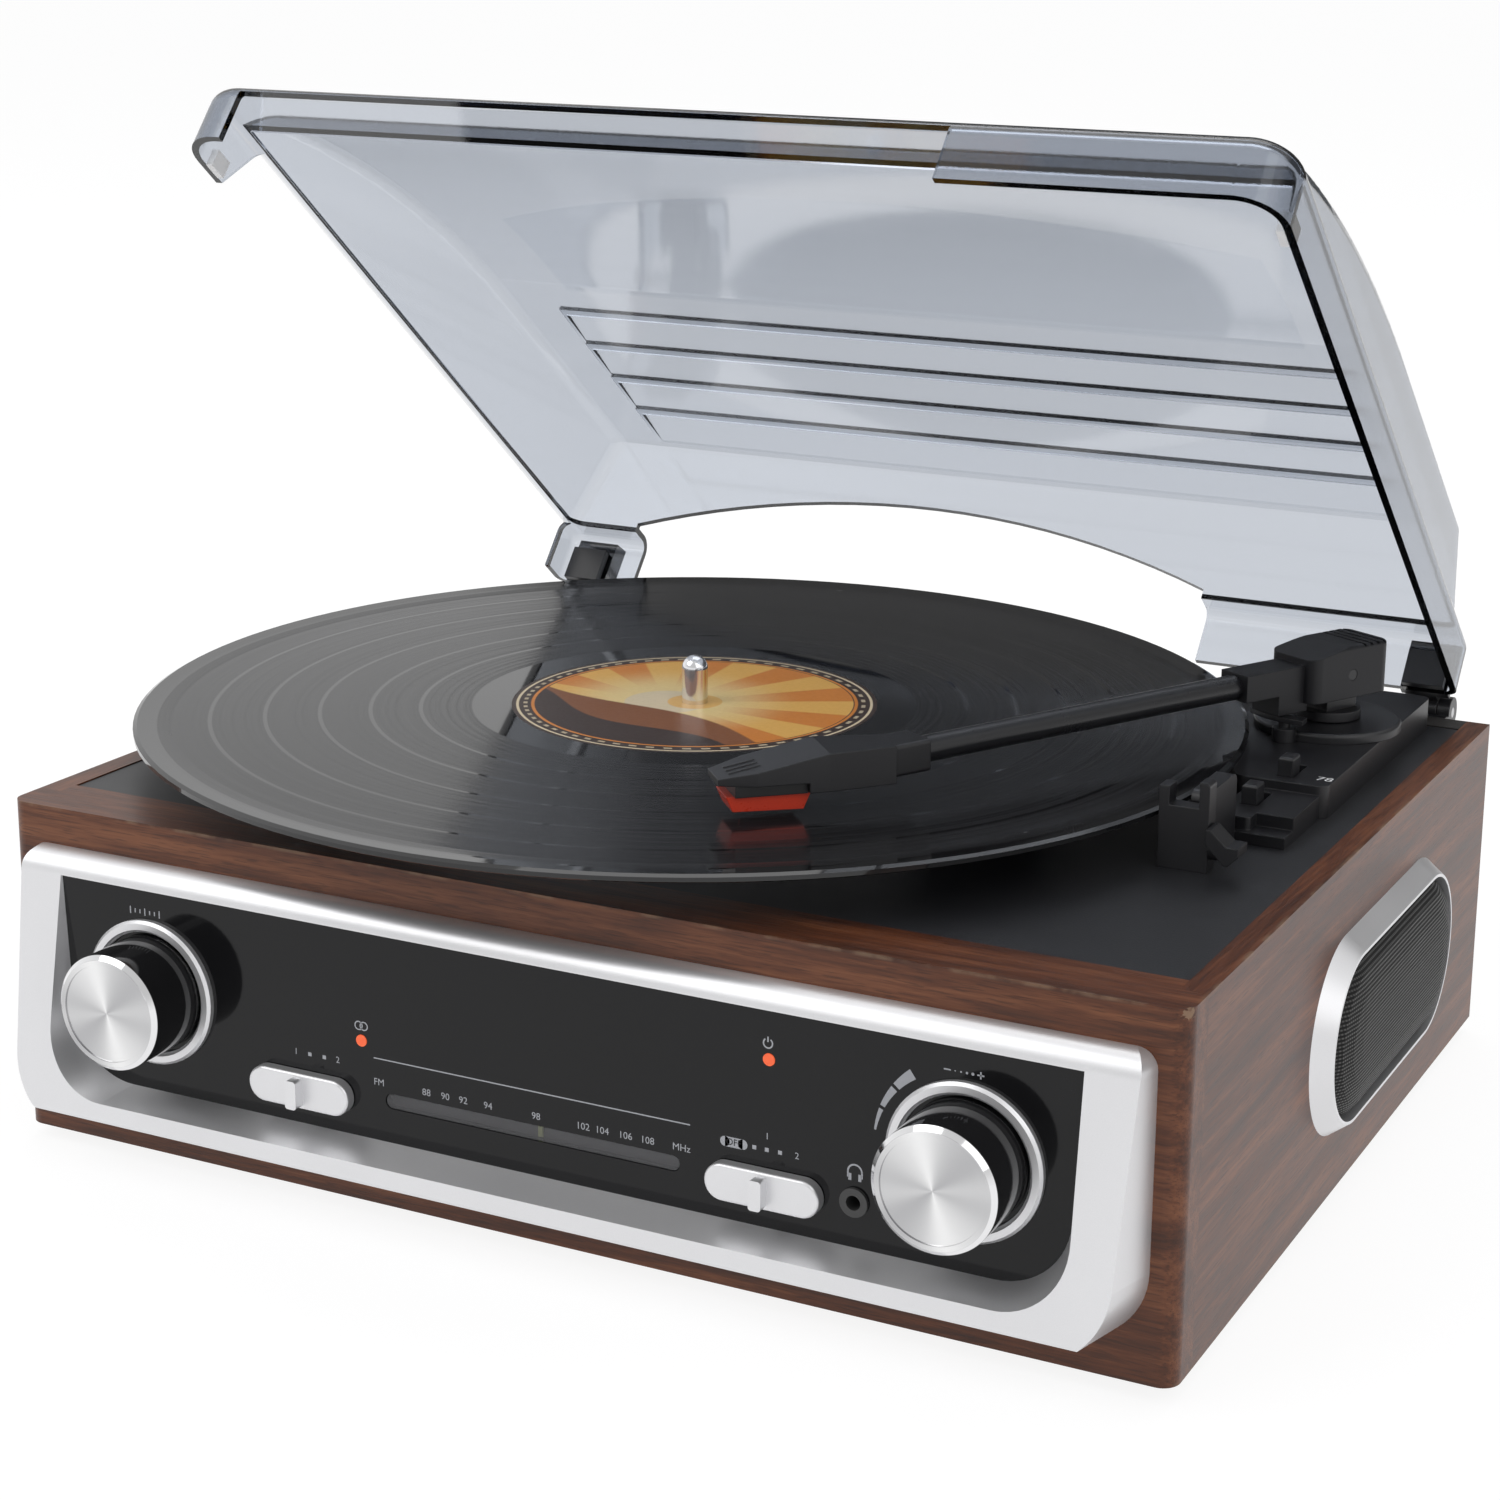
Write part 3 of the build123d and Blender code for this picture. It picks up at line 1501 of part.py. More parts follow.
def skirt_form(inset, foot):
    """The lid's low skirt with its ledge, drawn smaller all round by inset."""
    with BuildPart() as skirt:
        with BuildSketch(level(rim_level - foot)) as plan:
            with Locations((0, (lid_front + lid_back) / 2)):
                Rectangle(2 * (lid_half_width - inset), lid_back - lid_front - 2 * inset)
            fillet(plan.vertices().group_by(Axis.Y)[0], lid_corner - inset)
            fillet(plan.vertices().group_by(Axis.Y)[-1], lid_rear_corner - inset)
        extrude(amount=skirt_height - inset + foot)
        fillet(skirt.faces().sort_by(Axis.Z)[-1].edges(), ledge_radius - inset)
    return skirt.part


def crown_level(y):
    """The height of the crown's straight back part at a place from front to back."""
    climb = (crown_rear_rise - crown_back_rise) / (crown_rear - crown_back_start)
    return rim_level + crown_back_rise + climb * (y - crown_back_start)


def louvre_profile(inset):
    """Four shallow wedges across the crown, high in front, moved in and down by inset."""
    with BuildSketch(Plane.YZ) as wedges:
        for louvre in range(louvre_count):
            start = louvre_first + louvre * louvre_pitch
            end = start + louvre_pitch
            front = start + inset
            front_rise = louvre_rise * (end - front) / louvre_pitch
            with BuildLine():
                Polyline(
                    (front, crown_level(front) - inset - lid_wall / 4),
                    (front, crown_level(front) - inset + front_rise),
                    (end, crown_level(end) - inset),
                    (end, crown_level(end) - inset - lid_wall / 4),
                    close=True,
                )
            make_face()
    return wedges.sketch


# Lid, closed: skirt and crown, hollowed, then cut where the record overhangs the case
with BuildPart() as closed_lid:
    add(skirt_form(0, 0))
    add(crown_form(0))
    extrude(louvre_profile(0), amount=louvre_half_length, both=True)
    add(skirt_form(lid_wall, skirt_height / 2), mode=Mode.SUBTRACT)
    add(crown_form(lid_wall), mode=Mode.SUBTRACT)
    extrude(louvre_profile(lid_wall), amount=louvre_half_length - lid_wall, both=True,
            mode=Mode.SUBTRACT)
    with BuildSketch(side(-lid_half_width - lid_wall)):
        with BuildLine():
            Polyline(
                (side_cut_foot, rim_level - lid_wall),
                (side_cut_front, rim_level + side_cut_rise),
                (side_cut_back, rim_level + side_cut_rise),
                (side_cut_back, rim_level - lid_wall),
                close=True,
            )
        make_face()
    extrude(amount=3 * lid_wall, mode=Mode.SUBTRACT)
    with BuildSketch(Plane.XZ.offset(-lid_front + lid_wall)):
        with BuildLine():
            Polyline(
                (front_cut_left, rim_level - lid_wall),
                (front_cut_left, rim_level + front_cut_rise),
                (front_cut_right, rim_level + front_cut_rise),
                (front_cut_right, rim_level - lid_wall),
                close=True,
            )
        make_face()
    extrude(amount=-3 * lid_wall, mode=Mode.SUBTRACT)
    with BuildSketch(Plane.XZ.offset(-lid_back - lid_wall)):
        with BuildLine():
            Polyline(
                (arch_right, rim_level + arch_spring),
                (arch_right, rim_level - lid_wall),
                (arch_left, rim_level - lid_wall),
                (arch_left, rim_level + arch_spring),
            )
            ThreePointArc(
                (arch_left, rim_level + arch_spring),
                (arch_crown_x, rim_level + arch_crown),
                (arch_right, rim_level + arch_spring),
            )
        make_face()
    extrude(amount=lid_back - crown_foot + 3 * lid_wall, mode=Mode.SUBTRACT)

# Opening the lid turns it about the hinge line
hinge_point = Vector(0, hinge_y, hinge_level)
lid_swing = Location(hinge_point) * Location((0, 0, 0), (-lid_open_angle, 0, 0))
lid_swing = lid_swing * Location(-hinge_point)

with BuildPart() as lid_shell:
    add(closed_lid.part.moved(lid_swing))
save(lid_shell, "lid_shell")

# Bumpers inside the rim, at the left front foot and at the right front corner
with BuildPart() as closed_bumpers:
    with BuildSketch(level(rim_level - bumper_reach)):
        with Locations((lid_wall - lid_half_width, bumper_y)):
            Rectangle(bumper_thickness, bumper_length, align=(Align.MIN, Align.CENTER))
        with Locations((lid_half_width - lid_wall, bumper_y)):
            Rectangle(bumper_thickness, bumper_length, align=(Align.MAX, Align.CENTER))
    extrude(amount=bumper_height)

with BuildPart() as lid_bumpers:
    add(closed_bumpers.part.moved(lid_swing))
save(lid_bumpers, "lid_bumpers")

# Hinges: bases on the rear board, leaves on the lid's rear skirt, a pin through each
leaf_gap = slip_gap
ear_inner = hinge_width / 2 - knuckle_ear


def hinge_profile_circle(radius):
    """A round outline on the hinge line."""
    with Locations((hinge_y, hinge_level)):
        Circle(radius)


with BuildPart() as right_hinge_base:
    with BuildSketch(side(hinge_centre_x)):
        with Locations((half_depth, case_top)):
            Rectangle(hinge_plate, hinge_plate_height, align=(Align.MIN, Align.MAX))
    extrude(amount=hinge_width / 2, both=True)
    with BuildSketch(side(hinge_centre_x)):
        hinge_profile_circle(knuckle_radius)
        with Locations((half_depth, hinge_level)):
            Rectangle(hinge_y - half_depth, 2 * knuckle_radius, align=(Align.MIN, Align.MAX))
    extrude(amount=hinge_width / 2, both=True)
    with BuildSketch(side(hinge_centre_x)):
        hinge_profile_circle(knuckle_radius + 2 * leaf_gap)
        with Locations((half_depth + hinge_plate, hinge_level)):
            Rectangle(hinge_y - half_depth, 4 * knuckle_radius, align=(Align.MIN, Align.CENTER))
    extrude(amount=ear_inner, both=True, mode=Mode.SUBTRACT)
    with BuildSketch(side(hinge_centre_x)):
        hinge_profile_circle(hinge_pin_radius + running_gap)
    extrude(amount=hinge_width / 2, both=True, mode=Mode.SUBTRACT)

with BuildPart() as hinge_bases:
    add(right_hinge_base.part)
    mirror(right_hinge_base.part, about=Plane.YZ)
save(hinge_bases, "hinge_bases")

with BuildPart() as right_leaf:
    with BuildSketch(side(hinge_centre_x)):
        with Locations((lid_back, rim_level)):
            Rectangle(leaf_plate, leaf_height, align=(Align.MIN, Align.MIN))
        with Locations((lid_back, rim_level + leaf_block_foot)):
            Rectangle(leaf_block_depth, leaf_height - leaf_block_foot,
                      align=(Align.MIN, Align.MIN))
    extrude(amount=hinge_width / 2, both=True)
    with BuildSketch(side(hinge_centre_x)):
        hinge_profile_circle(knuckle_radius)
        with BuildLine():
            Polyline(
                (hinge_y, hinge_level + knuckle_radius),
                (lid_back, rim_level + leaf_height / 2),
                (lid_back, rim_level),
                (hinge_y, rim_level),
                close=True,
            )
        make_face()
    extrude(amount=ear_inner - leaf_gap, both=True)
    with BuildSketch(side(hinge_centre_x)):
        hinge_profile_circle(hinge_pin_radius + running_gap)
    extrude(amount=hinge_width / 2, both=True, mode=Mode.SUBTRACT)
    with BuildSketch(side(hinge_centre_x)):
        with Locations((lid_back - lid_wall, rim_level + bumper_reach)):
            Rectangle(leaf_plate, leaf_height - ledge_radius, align=(Align.MAX, Align.MIN))
    extrude(amount=hinge_width / 2 - lid_wall / 2, both=True)

with BuildPart() as closed_leaves:
    add(right_leaf.part)
    mirror(right_leaf.part, about=Plane.YZ)

with BuildPart() as hinge_leaves:
    add(closed_leaves.part.moved(lid_swing))
save(hinge_leaves, "hinge_leaves")

with BuildPart() as hinge_pins:
    with BuildSketch(side(hinge_centre_x)):
        hinge_profile_circle(hinge_pin_radius)
    extrude(amount=hinge_width / 2, both=True)
    with BuildSketch(side(-hinge_centre_x)):
        hinge_profile_circle(hinge_pin_radius)
    extrude(amount=hinge_width / 2, both=True)
save(hinge_pins, "hinge_pins")

# Amplifier board on its posts, with one tall part and a heat sink, and the power inlet
amp_level = above(base_thickness + amp_post_height)
with BuildPart() as amplifier_board:
    with BuildSketch(level(amp_level)):
        with Locations((amp_x, amp_y)):
            Rectangle(amp_width, amp_length)
    extrude(amount=board_thickness)
    with BuildSketch(level(amp_level + board_thickness)):
        with Locations((amp_x - amp_width / 4, amp_y), (amp_x + amp_width / 4, amp_y)):
            Rectangle(amp_width / 6, amp_length / 2)
    extrude(amount=chip_height)
save(amplifier_board, "amplifier_board")

with BuildPart() as power_inlet:
    with BuildSketch(Plane.XZ.offset(-half_depth)):
        with Locations((inlet_x, above(inlet_height))):
            Rectangle(inlet_width, inlet_width)
    extrude(amount=inlet_depth)
    with BuildSketch(Plane.XZ.offset(-half_depth)):
        with Locations((inlet_x, above(inlet_height))):
            Circle(inlet_bore)
            Circle(inlet_pin_radius, mode=Mode.SUBTRACT)
    extrude(amount=inlet_depth - inlet_bore, mode=Mode.SUBTRACT)
save(power_inlet, "power_inlet")
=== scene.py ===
import math

import bmesh
import bpy
from mathutils import Matrix, Vector


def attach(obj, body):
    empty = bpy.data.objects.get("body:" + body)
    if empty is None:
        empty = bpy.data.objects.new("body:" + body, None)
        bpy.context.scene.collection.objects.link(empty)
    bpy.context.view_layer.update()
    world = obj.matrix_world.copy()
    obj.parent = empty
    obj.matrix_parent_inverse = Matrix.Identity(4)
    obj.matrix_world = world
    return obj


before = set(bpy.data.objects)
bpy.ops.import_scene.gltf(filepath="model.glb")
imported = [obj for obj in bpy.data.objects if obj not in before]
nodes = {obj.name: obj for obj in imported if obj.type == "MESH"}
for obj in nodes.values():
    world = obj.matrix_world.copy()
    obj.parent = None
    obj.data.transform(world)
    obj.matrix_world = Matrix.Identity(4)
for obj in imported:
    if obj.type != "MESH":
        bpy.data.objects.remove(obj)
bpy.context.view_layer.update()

print("frame loaded,", len(nodes), "parts")

# the case, in metres: its front is at -halfDepth, and the panel stands panelFace proud of that
case = {"halfWidth": 0.160, "halfDepth": 0.1276, "bottom": 0.004, "top": 0.0928, "panelFace": 0.0060}
hinge = {"y": 0.1364, "z": 0.0924, "openDegrees": 39.7}
spindlePlace = (-0.0282, -0.0011, 0.0)


# camera
view = {
    "place": (0.35113, -0.70003, 0.32388),
    "yaw": 26.244,
    "pitch": 14.598,
    "roll": 0.634,
    "lens": 72.159,
    "shift": (-0.03938, -0.05766),
}


def makeCamera():
    yaw, pitch, roll = (math.radians(view[key]) for key in ("yaw", "pitch", "roll"))
    ahead = Vector((-math.sin(yaw) * math.cos(pitch), math.cos(yaw) * math.cos(pitch),
                    -math.sin(pitch)))
    right = Vector((math.cos(yaw), math.sin(yaw), 0))
    up = right.cross(ahead)
    turnedRight = right * math.cos(roll) + up * math.sin(roll)
    turnedUp = up * math.cos(roll) - right * math.sin(roll)
    data = bpy.data.cameras.new("camera")
    data.lens = view["lens"]
    data.sensor_width = 36
    data.shift_x, data.shift_y = view["shift"]
    data.clip_start = 0.02
    camera = bpy.data.objects.new("camera", data)
    turn = Matrix((turnedRight, turnedUp, -ahead)).transposed().to_4x4()
    camera.matrix_world = Matrix.Translation(view["place"]) @ turn
    bpy.context.scene.collection.objects.link(camera)
    bpy.context.scene.camera = camera


# a shader socket that adds, multiplies and so on like a plain number
class Wire:
    def __init__(self, tree, socket=None):
        self.tree = tree
        self.socket = socket

    # any node: its type, its settings, then what goes into its sockets
    def node(self, kind, settings, sockets, out=0):
        made = self.tree.nodes.new(kind)
        for name, value in settings.items():
            if name == "stops":
                ramp = made.color_ramp.elements
                while len(ramp) < len(value):
                    ramp.new(0.5)
                for element, (position, colour) in zip(ramp, value):
                    element.position = position
                    element.color = (*colour, 1)
            else:
                setattr(made, name, value)
        for name, value in sockets.items():
            self.feed(made.inputs[name], value)
        return Wire(self.tree, made.outputs[out])

    def feed(self, socket, value):
        if isinstance(value, Wire):
            self.tree.links.new(value.socket, socket)
        elif socket.type == "RGBA" and len(value) == 3:
            socket.default_value = (*value, 1)
        else:
            socket.default_value = value

    # a Math node on the given values
    def combine(self, operation, *values):
        return self.node("ShaderNodeMath", {"operation": operation}, dict(enumerate(values)))

    # the same with this value first
    def maths(self, operation, *others):
        return self.combine(operation, self, *others)

    def __add__(self, other):
        return self.maths("ADD", other)

    def __radd__(self, other):
        return self.combine("ADD", other, self)

    def __sub__(self, other):
        return self.maths("SUBTRACT", other)

    def __rsub__(self, other):
        return self.combine("SUBTRACT", other, self)

    def __mul__(self, other):
        return self.maths("MULTIPLY", other)

    def __rmul__(self, other):
        return self.combine("MULTIPLY", other, self)

    def __truediv__(self, other):
        return self.maths("DIVIDE", other)

    def __neg__(self):
        return self * -1.0

    def __abs__(self):
        return self.maths("ABSOLUTE")

    # 0 below low and 1 above high, smooth between
    def step(self, low, high):
        if low < high:
            return self.node("ShaderNodeMapRange", {"interpolation_type": "SMOOTHSTEP"},
                             {"Value": self, "From Min": low, "From Max": high})
        return 1 - self.step(high, low)


def place(wire):
    return wire.node("ShaderNodeTexCoord", {}, {}, out="Object")


# the object's own coordinates seen from a centre, turned and in units of size
def around(wire, centre=(0, 0, 0), turn=(0, 0, 0), size=(1, 1, 1)):
    return wire.node("ShaderNodeMapping", {"vector_type": "TEXTURE"},
                     {"Vector": place(wire), "Location": centre, "Rotation": turn, "Scale": size})


def apart(wire):
    split = wire.node("ShaderNodeSeparateXYZ", {}, {"Vector": wire})
    return [Wire(wire.tree, output) for output in split.socket.node.outputs]


def join(wire, x, y, z):
    return wire.node("ShaderNodeCombineXYZ", {}, {"X": x, "Y": y, "Z": z})


def noise(wire, vector, scale, detail=2.0, rough=0.5):
    sockets = {"Vector": vector, "Scale": scale, "Detail": detail, "Roughness": rough}
    return wire.node("ShaderNodeTexNoise", {}, sockets)


def blend(wire, share, first, second):
    return wire.node("ShaderNodeMix", {"data_type": "RGBA"}, {0: share, 6: first, 7: second}, out=2)


def bump(wire, height, distance, strength, normal=None):
    sockets = {"Height": height, "Distance": distance, "Strength": strength}
    if normal:
        sockets["Normal"] = normal
    return wire.node("ShaderNodeBump", {}, sockets)


def length(x, y):
    return (x * x + y * y).maths("SQRT")


def surfaceNormal(wire):
    return wire.node("ShaderNodeNewGeometry", {}, {}, out="Normal")


# a material: fixed values go straight on the shader, the rest comes from build
def finish(name, fixed, build):
    material = bpy.data.materials.new(name)
    material.use_nodes = True
    tree = material.node_tree
    shader = tree.nodes["Principled BSDF"]
    wire = Wire(tree)
    for socketName, value in fixed.items():
        wire.feed(shader.inputs[socketName], value)
    for socketName, value in build(wire).items():
        wire.feed(shader.inputs[socketName], value)
    return material


# finishes
walnut = {
    "dark": (0.028, 0.0080, 0.0034),
    "middle": (0.112, 0.0335, 0.0125),
    "light": (0.230, 0.0840, 0.0350),
    "worn": (0.29, 0.19, 0.12),
    "roughness": 0.34,
    "grain": {"x": (0.06, 1.0, 1.0), "y": (1.0, 0.06, 1.0)},
    "poreShade": 0.45,
    "chipPlace": (0.1596, -0.1262, 0.0916),
    "chipSize": (0.0026, 0.0024, 0.0016),
}


# veneer with its grain along x or y, worn along the edges, and one chipped corner
def walnutFinish(name, along):
    def build(wire):
        spot = place(wire)
        x, y, z = apart(spot)
        grainPlace = wire.node("ShaderNodeVectorMath", {"operation": "MULTIPLY"},
                               {0: spot, 1: walnut["grain"][along]})
        cloud = noise(wire, grainPlace, 38.0, 2.0)
        warped = wire.node("ShaderNodeVectorMath", {"operation": "ADD"},
                           {0: grainPlace, 1: join(wire, 0.0, cloud * 0.006, cloud * 0.006)})
        figure = noise(wire, warped, 170.0, 4.0, 0.62)
        fibre = noise(wire, warped, 950.0, 3.0, 0.6)
        pores = noise(wire, warped, 2300.0, 1.0).step(0.56, 0.68)
        tone = (figure * 0.62 + fibre * 0.38).step(0.30, 0.72)
        stops = [(0.0, walnut["dark"]), (0.5, walnut["middle"]), (1.0, walnut["light"])]
        colour = wire.node("ShaderNodeValToRGB", {"stops": stops}, {"Fac": tone * 0.86 + cloud * 0.14})
        colour = blend(wire, pores * walnut["poreShade"], colour, walnut["dark"])
        fromSide = case["halfWidth"] - abs(x)
        fromFront = case["halfDepth"] - abs(y)
        fromTop = case["top"] - z
        fromBottom = z - case["bottom"]
        edges = [
            fromSide.maths("MAXIMUM", fromTop),
            fromSide.maths("MAXIMUM", fromBottom),
            fromFront.maths("MAXIMUM", fromTop),
        ]
        nearest = edges[0].maths("MINIMUM", edges[1]).maths("MINIMUM", edges[2])
        patchy = noise(wire, spot, 130.0, 3.0).step(0.42, 0.66)
        worn = nearest.step(0.0011, 0.0003) * patchy
        chipX, chipY, chipZ = apart(around(wire, walnut["chipPlace"], size=walnut["chipSize"]))
        chip = length(length(chipX, chipY), chipZ) + noise(wire, spot, 1500.0, 3.0) * 1.6
        worn = (worn * 0.45).maths("MAXIMUM", chip.step(1.66, 1.40) * 0.8)
        colour = blend(wire, worn, colour, walnut["worn"])
        rough = walnut["roughness"] + fibre * 0.10 + worn * 0.25
        return {
            "Base Color": colour,
            "Roughness": rough,
            "Normal": bump(wire, figure * 0.3 + fibre * 0.5 - pores * 0.6, 0.00006, 0.6),
        }

    return finish(name, {"Specular IOR Level": 0.34, "Coat Weight": 0.08, "Coat Roughness": 0.20}, build)


# moulded plastic: a fine spark grain, slight cloudiness and, with edge, rounded looking edges
def plasticFinish(name, colour, rough, grain, grainSize, edge=0.0, fixed=None, cloudy=0.12):
    def build(wire):
        spot = place(wire)
        cloud = noise(wire, spot, 45.0, 2.0)
        speck = noise(wire, spot, 1.0 / grainSize, 2.0)
        paler = tuple(min(1.0, channel * (1 + 2 * cloudy) + 0.002) for channel in colour)
        darker = tuple(channel * (1 - cloudy) for channel in colour)
        normal = None
        if edge:
            normal = wire.node("ShaderNodeBevel", {"samples": 4}, {"Radius": edge})
        return {
            "Base Color": blend(wire, cloud * 0.6 + speck * 0.4, darker, paler),
            "Roughness": rough - 0.06 + cloud * 0.08 + speck * 0.05,
            "Normal": bump(wire, speck, grainSize * 0.15, grain, normal),
        }

    return finish(name, fixed or {}, build)


# metal: fine scratches along one axis and a faint tarnish
def metalFinish(name, colour, rough, brush=(0.05, 1.0, 1.0)):
    def build(wire):
        spot = wire.node("ShaderNodeVectorMath", {"operation": "MULTIPLY"}, {0: place(wire), 1: brush})
        scratches = noise(wire, spot, 2600.0, 2.0)
        cloud = noise(wire, place(wire), 60.0, 3.0)
        darker = tuple(channel * 0.86 for channel in colour)
        return {
            "Base Color": blend(wire, scratches * 0.5 + cloud * 0.5, darker, colour),
            "Roughness": rough - 0.04 + scratches * 0.06 + cloud * 0.06,
            "Normal": bump(wire, scratches, 0.00001, 0.35),
        }

    return finish(name, {"Metallic": 1.0}, build)


# spun metal or pressed vinyl: every ring leans a little, in or out
def ringNormal(wire, alongX, alongY, radius, pitch, lean, horizontal=True):
    ring = (radius / pitch).maths("FLOOR")
    tilt = wire.node("ShaderNodeTexWhiteNoise", {"noise_dimensions": "1D"}, {"W": ring}) - 0.5
    safe = radius.maths("MAXIMUM", 0.0001)
    outX = alongX / safe * tilt * lean
    outY = alongY / safe * tilt * lean
    outward = join(wire, outX, outY, 0.0) if horizontal else join(wire, outX, 0.0, outY)
    leaning = wire.node("ShaderNodeVectorMath", {"operation": "ADD"},
                        {0: surfaceNormal(wire), 1: outward})
    return wire.node("ShaderNodeVectorMath", {"operation": "NORMALIZE"}, {0: leaning})


bezelSilver = {
    "dark": (0.71, 0.71, 0.725),
    "light": (0.84, 0.84, 0.855),
    "roughness": 0.34,
    "metal": 0.74,
}


# silver paint with fine flakes
def satinFinish(name):
    def build(wire):
        spot = place(wire)
        flake = noise(wire, spot, 5200.0, 1.0)
        cloud = noise(wire, spot, 30.0, 3.0)
        tone = flake * 0.5 + cloud * 0.5
        return {
            "Base Color": blend(wire, tone, bezelSilver["dark"], bezelSilver["light"]),
            "Roughness": bezelSilver["roughness"] - 0.03 + flake * 0.05 + cloud * 0.05,
            "Normal": bump(wire, flake, 0.00001, 0.3),
        }

    return finish(name, {"Metallic": bezelSilver["metal"]}, build)


knobLook = {
    "centreX": 0.1117,
    "centreZ": 0.051,
    "front": 0.1519,
    "brushedRadius": 0.01385,
    "skirtBack": 0.1352,
    "ringPitch": 0.00016,
    "ringLean": 0.30,
    # the direction of the painted highlight fans on the face
    "paintedFanDegrees": 118.0,
    "faceDark": (0.40, 0.40, 0.41),
    "faceLight": (0.50, 0.50, 0.51),
    # painted highlight: the colour of the bright fans painted on the turned face
    "paintedFanHighlight": (0.90, 0.90, 0.90),
    "rim": (0.80, 0.80, 0.81),
    "skirt": (0.012, 0.012, 0.013),
}


# both knobs: a turned metal face with painted highlight fans, a bright rim and a black skirt behind it
def knobFinish():
    def build(wire):
        x, y, z = apart(place(wire))
        fromAxisX = abs(x) - knobLook["centreX"]
        fromAxisZ = z - knobLook["centreZ"]
        radius = length(fromAxisX, fromAxisZ)
        ahead = -y
        edge, front = knobLook["brushedRadius"], knobLook["front"]
        onFace = radius.step(edge + 0.0001, edge - 0.0001) * ahead.step(front - 0.0012, front - 0.0008)
        onSkirt = ahead.step(front - 0.0011, front - 0.00125)
        onSkirt = onSkirt * ahead.step(knobLook["skirtBack"], knobLook["skirtBack"] + 0.0001)
        signed = x / abs(x)
        rings = ringNormal(wire, fromAxisX * signed, fromAxisZ, radius, knobLook["ringPitch"],
                           knobLook["ringLean"], horizontal=False)
        normal = wire.node("ShaderNodeMix", {"data_type": "VECTOR"},
                           {0: onFace, 4: surfaceNormal(wire), 5: rings}, out=1)
        scratch = noise(wire, join(wire, radius * 60.0, 0.0, 0.0), 120.0, 2.0)
        # painted highlight: bright fans in opposite directions painted into the face's colour, standing
        # in for light caught by the turning marks
        angle = fromAxisZ.maths("ARCTAN2", fromAxisX * signed)
        swing = angle - math.radians(knobLook["paintedFanDegrees"])
        wide = abs(swing.maths("COSINE"))
        narrow = abs((swing * 2.0 + 0.5).maths("COSINE"))
        paintedFanHighlight = (wide.maths("POWER", 3.0) * 0.62 + narrow.maths("POWER", 6.0) * 0.30) * onFace
        colour = blend(wire, scratch, knobLook["faceDark"], knobLook["faceLight"])
        colour = blend(wire, paintedFanHighlight, colour, knobLook["paintedFanHighlight"])
        colour = blend(wire, onFace, knobLook["rim"], colour)
        return {
            "Base Color": blend(wire, onSkirt, colour, knobLook["skirt"]),
            "Metallic": 1 - onSkirt,
            "Roughness": 0.07 + onFace * 0.13,
            "Normal": normal,
        }

    return finish("knob_turned", {}, build)


recordLook = {
    "colour": (0.0095, 0.0095, 0.0105),
    # paler colour for real dust specks, and for the painted groove sheen in the grooved bands
    "dustAndGrooveSheen": (0.022, 0.022, 0.024),
    "leadOut": 0.0605,
    "leadIn": 0.1440,
    "trackGaps": (0.0745, 0.0880, 0.1015, 0.1160, 0.1305),
    "groovePitch": 0.00024,
    "grooveLean": 0.034,
}


# pressed grooves that lean a little each, with smooth bands between the tracks; the grooved bands carry
# a painted sheen, paler where loud
def recordFinish():
    def build(wire):
        x, y = apart(around(wire, spindlePlace))[:2]
        radius = length(x, y)
        grooved = radius.step(recordLook["leadOut"], recordLook["leadOut"] + 0.0004)
        grooved = grooved * radius.step(recordLook["leadIn"] + 0.0004, recordLook["leadIn"])
        for gap in recordLook["trackGaps"]:
            grooved = grooved * abs(radius - gap).step(0.0004, 0.0007)
        loud = noise(wire, join(wire, radius * 9.0, 0.0, 0.0), 95.0, 3.0).step(0.30, 0.70)
        fine = noise(wire, join(wire, radius * 30.0, 0.0, 0.0), 420.0, 2.0)
        lean = recordLook["grooveLean"] * (0.5 + loud)
        normal = ringNormal(wire, x, y, radius, recordLook["groovePitch"], grooved * lean)
        dust = noise(wire, place(wire), 260.0, 3.0).step(0.62, 0.8)
        return {
            # base colour: real dust specks, and a painted sheen over the grooved bands that grows where
            # loud
            "Base Color": blend(wire, dust * 0.2 + grooved * (loud * 0.45 + fine * 0.35),
                                recordLook["colour"], recordLook["dustAndGrooveSheen"]),
            "Roughness": 0.05 + grooved * (0.04 + loud * 0.13 + fine * 0.05) + dust * 0.05,
            "Coat Weight": (1 - grooved) * 0.30,
            "Normal": normal,
        }

    return finish("pressed_vinyl", {"Specular IOR Level": 0.40, "Coat Roughness": 0.03}, build)


labelLook = {
    "orange": (0.72, 0.235, 0.022),
    "gold": (0.86, 0.47, 0.095),
    "pale": (0.90, 0.68, 0.30),
    "brown": (0.030, 0.012, 0.007),
    "cream": (0.80, 0.66, 0.44),
    "farHill": (0.24, 0.075, 0.016),
    "fibre": (0.10, 0.05, 0.02),
    "rays": 22,
    "radius": 0.050,
    "turnDegrees": -20,
}


